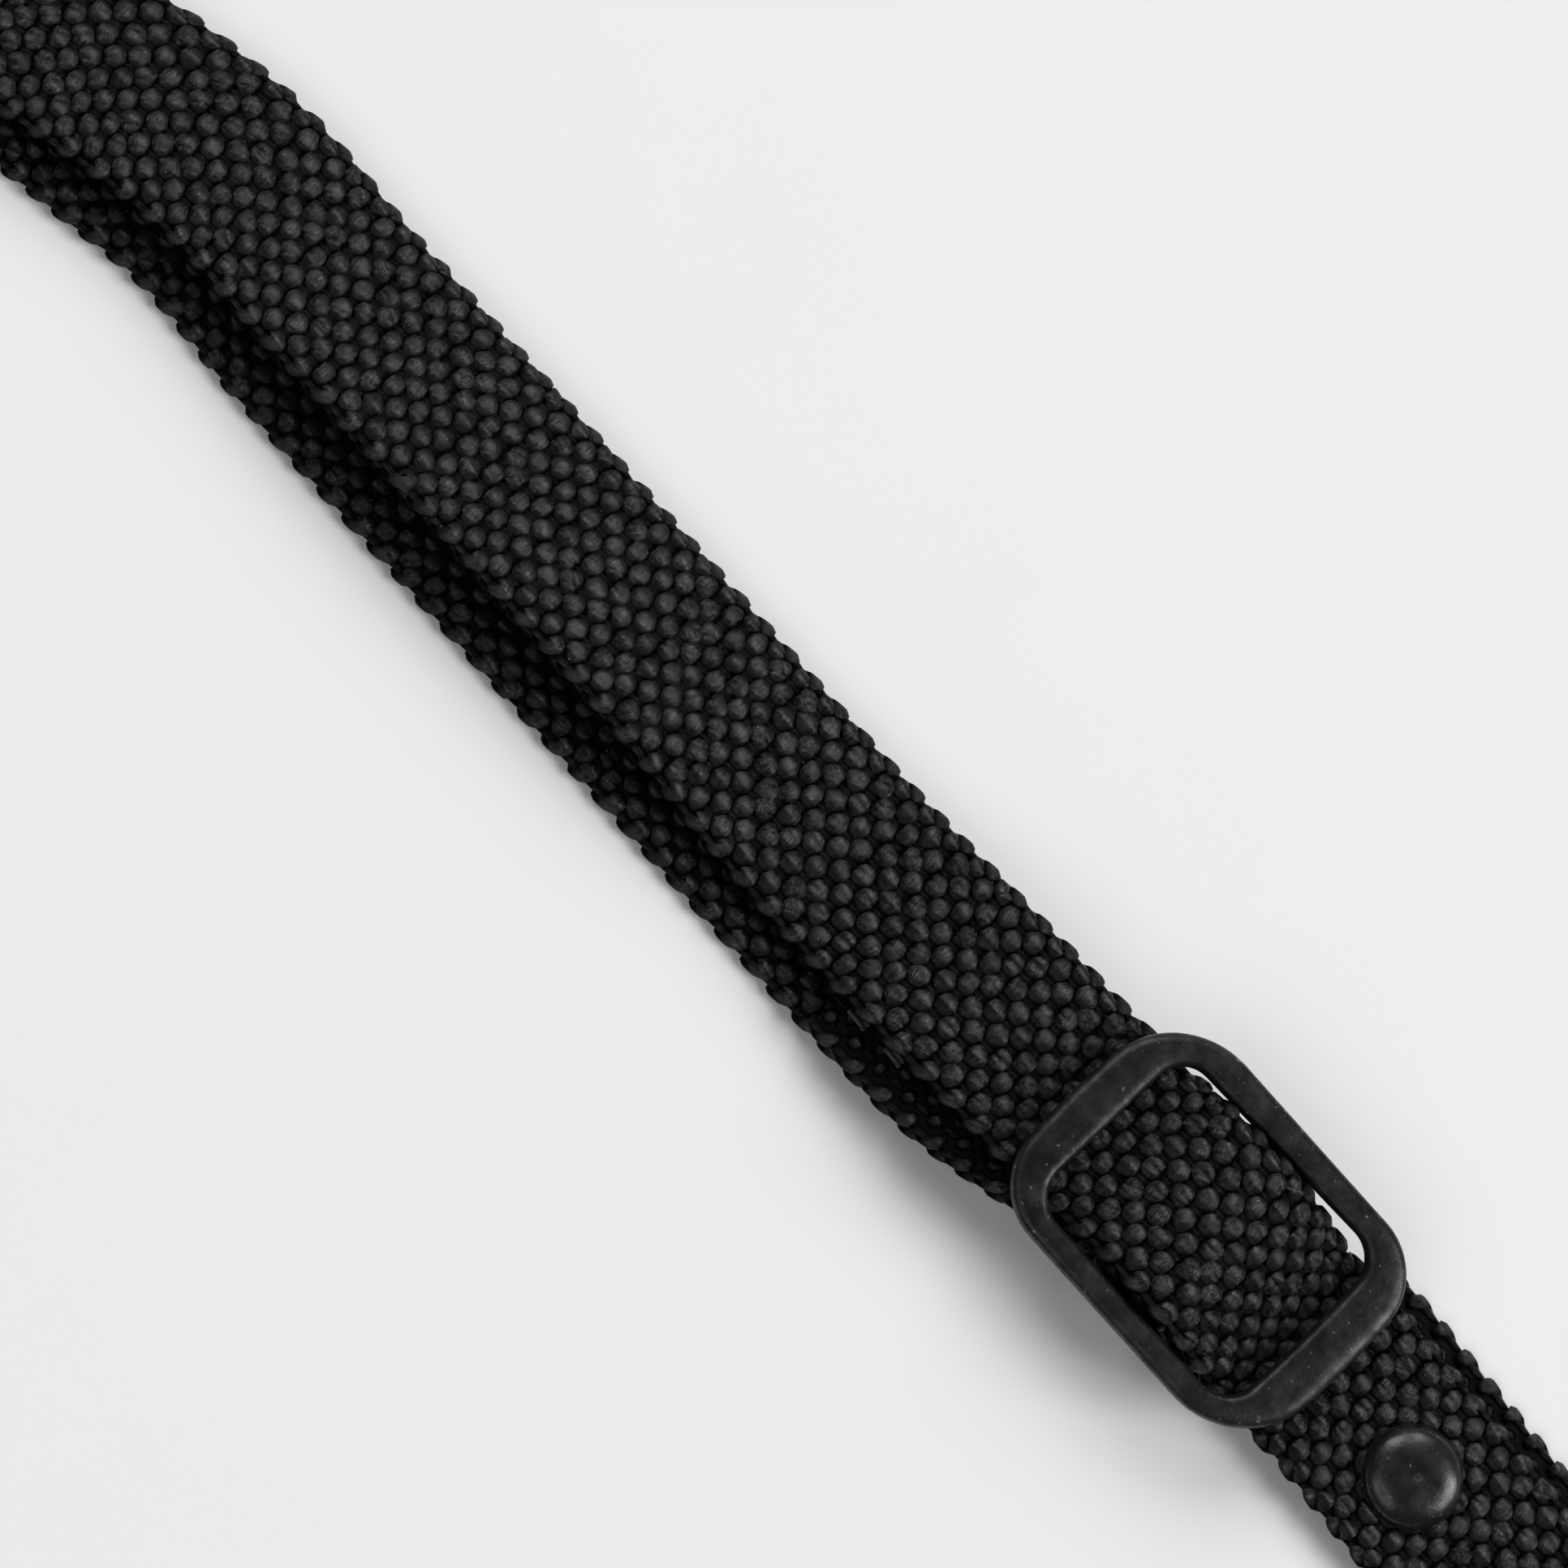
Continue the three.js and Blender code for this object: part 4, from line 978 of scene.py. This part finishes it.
def make_tab_b():
    at = Matrix.Translation(Vector((RING_X + RING_SPACING, return_middle_y(), 0)) * MM)
    thick = TAB_B["leather"]
    mid, top_low = thick / 2, thick + GAP
    radius = RING_WIRE + GAP + mid
    side = np.vstack([
        spline([(TAB_B["flap_end"], mid), (15, mid), (0, mid)])[:-1],
        arc((0, RING_HEIGHT), radius, 270, 90)[:-1],
        spline([(0, RING_HEIGHT + radius), (4, 5.8), (9, 3.9), (14, top_low + mid),
                (TAB_B["flat_from"] + 2.5, top_low + mid)])])
    along = np.gradient(side, axis=0)
    along /= np.linalg.norm(along, axis=1)[:, None]
    face = np.stack([-along[:, 1], along[:, 0]], -1)
    angle = np.linspace(0, 2 * math.pi, 32, endpoint=False)
    reach = TAB_B["neck"] * np.sign(np.cos(angle)) * np.abs(np.cos(angle))**0.12
    level = mid * np.sign(np.sin(angle)) * np.abs(np.sin(angle))**0.5
    rings = side[:, None] + face[:, None] * level[None, :, None]
    points = np.stack([rings[..., 0], np.broadcast_to(reach, rings.shape[:2]), rings[..., 1]], -1)
    fold = build("tab_b_fold", points.reshape(-1, 3), tube_faces(len(side), len(angle)))
    hole = button_hole(TAB_B["length"] - BUTTON_FROM_TIP)
    top = plate("tab_b_top", [tab_b_outline(TAB_B["flat_from"], 0.1), hole], top_low, top_low + thick)
    leather = join("tab_b_skin", fold, top)
    lining = plate("tab_b_suede", [tab_b_outline(TAB_B["lining_from"], 0.6), hole], 0.05, thick, 0.3)
    seam = stitches("tab_b_stitches", tab_b_seam(), top_low + thick, at)
    finish_tab("tab_b", leather, lining, seam, at, waviness=0.2)
    seat = 2 * thick + GAP
    profile = dome_profile(TAB_B["rivet_radius"], TAB_B["rivet_crown"])
    for k, y in enumerate((-TAB_B["rivet_y"], TAB_B["rivet_y"])):
        cap = lathe(f"tab_b_rivet_{k + 1}", profile,
                    (RING_X + RING_SPACING + TAB_B["rivet_x"], return_middle_y() + y, seat))
        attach(dress(cap, RIVET_PAINT), "tab_b")
        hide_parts(f"tab_b_rivet_cap_{k + 1}")


def make_metal():
    slide = slide_shape()
    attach(dress(slide, SLIDE_PAINT), "slider")
    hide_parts("slide_frame")
    wire = ring_shape()
    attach(dress(wire, SLIDE_PAINT), "ring_link")
    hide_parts("ring")
    seat = THICKNESS + LAYER - RIVET["sunk"]
    profile = dome_profile(RIVET["radius"], RIVET["crown"])
    cap = lathe("end_rivet", profile, (RIVET["x"], RIVET["y"], seat))
    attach(dress(cap, RIVET_PAINT), "webbing")
    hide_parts("end_rivet_cap")
    for name in ("end_rivet_post", "tab_b_rivet_post_1", "tab_b_rivet_post_2"):
        dress(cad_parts[name], RIVET_PAINT)
    for k, distance in enumerate(TACKS_AT):
        bar = thread_bar(f"tail_tack_{k + 1}", distance)
        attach(dress(bar, THREAD), "slider")
        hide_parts(f"loop_tack_{k + 1}")


# ---------------------------------------------------------------- stage
VIEW_TARGET = (-60.1, -3.5, 4.0)  # mm
VIEW_RIGHT = (0.663, 0.749, 0)  # the direction that runs to the picture's right
VIEW_LEAN = math.radians(11)
VIEW_DISTANCE = 429  # mm
WORLD = 0.10  # strength of the even light from all round
LIGHTS = {  # degrees, metres and watts
    "left": {"azimuth": 135, "elevation": 40, "distance": 3.2, "size": (3.4, 1.8), "power": 71.0},
    "right": {"azimuth": 28, "elevation": 34, "distance": 3.2, "size": (1.6, 1.6), "power": 71.0},
    "fill": {"azimuth": -100, "elevation": 52, "distance": 2.4, "size": (2.2, 1.6), "power": 14.0},
}


def aim(obj, at, target, turn=None):
    """Puts obj at a point in metres, its -Z towards the target."""
    back = (Vector(at) - Vector(target)).normalized()
    right = Vector(turn) if turn else Vector((0, 0, 1)).cross(back)
    right = (right - right.dot(back) * back).normalized()
    up = back.cross(right)
    obj.matrix_world = Matrix.Translation(Vector(at)) @ Matrix((right, up, back)).transposed().to_4x4()


def area_light(name, azimuth, elevation, distance, size, power):
    """A soft light; azimuth is counted from +X towards +Y, in degrees."""
    lamp = bpy.data.lights.new(name, "AREA")
    lamp.shape, lamp.size, lamp.size_y, lamp.energy = "RECTANGLE", *size, power
    obj = new_object(name, lamp)
    a, e = math.radians(azimuth), math.radians(elevation)
    away = Vector((math.cos(a) * math.cos(e), math.sin(a) * math.cos(e), math.sin(e)))
    target = Vector(VIEW_TARGET) * MM
    aim(obj, target + away * distance, target)
    obj.visible_camera = False


def make_stage():
    reach = 6.0
    mesh = bpy.data.meshes.new("floor")
    corners = [(-reach, -reach, 0), (reach, -reach, 0), (reach, reach, 0), (-reach, reach, 0)]
    mesh.from_pydata(corners, [], [(0, 1, 2, 3)])
    floor = new_object("floor", mesh)
    mesh.materials.append(floor_material())
    world = bpy.data.worlds.new("studio")
    world.use_nodes = True
    background = world.node_tree.nodes["Background"]
    background.inputs["Color"].default_value = (1.0, 1.0, 1.0, 1)
    background.inputs["Strength"].default_value = WORLD
    bpy.context.scene.world = world
    for name, light in LIGHTS.items():
        area_light(name, **light)
    bpy.context.scene.view_settings.view_transform = "Standard"


def make_camera():
    data = bpy.data.cameras.new("camera")
    data.lens, data.sensor_width = 100, 36
    data.clip_start, data.clip_end = 0.01, 30
    camera = new_object("camera", data)
    back = Vector((0, -math.sin(VIEW_LEAN), math.cos(VIEW_LEAN)))
    target = Vector(VIEW_TARGET) * MM
    aim(camera, target + back * VIEW_DISTANCE * MM, target, turn=VIEW_RIGHT)
    bpy.context.scene.camera = camera


WEBBING, CORE = webbing_material(), core_material()
SLIDE_PAINT = paint_material("slide_paint", base=0.006, rough=(0.3, 0.46), wear=0.09, specular=0.33)
RIVET_PAINT = paint_material("rivet_paint", base=0.006, rough=(0.24, 0.34), wear=0.05)
LEATHER, LINING, THREAD = leather_material(), lining_material(), thread_material()

make_webbing()
make_metal()
make_tab_a()
make_tab_b()
make_stage()
make_camera()
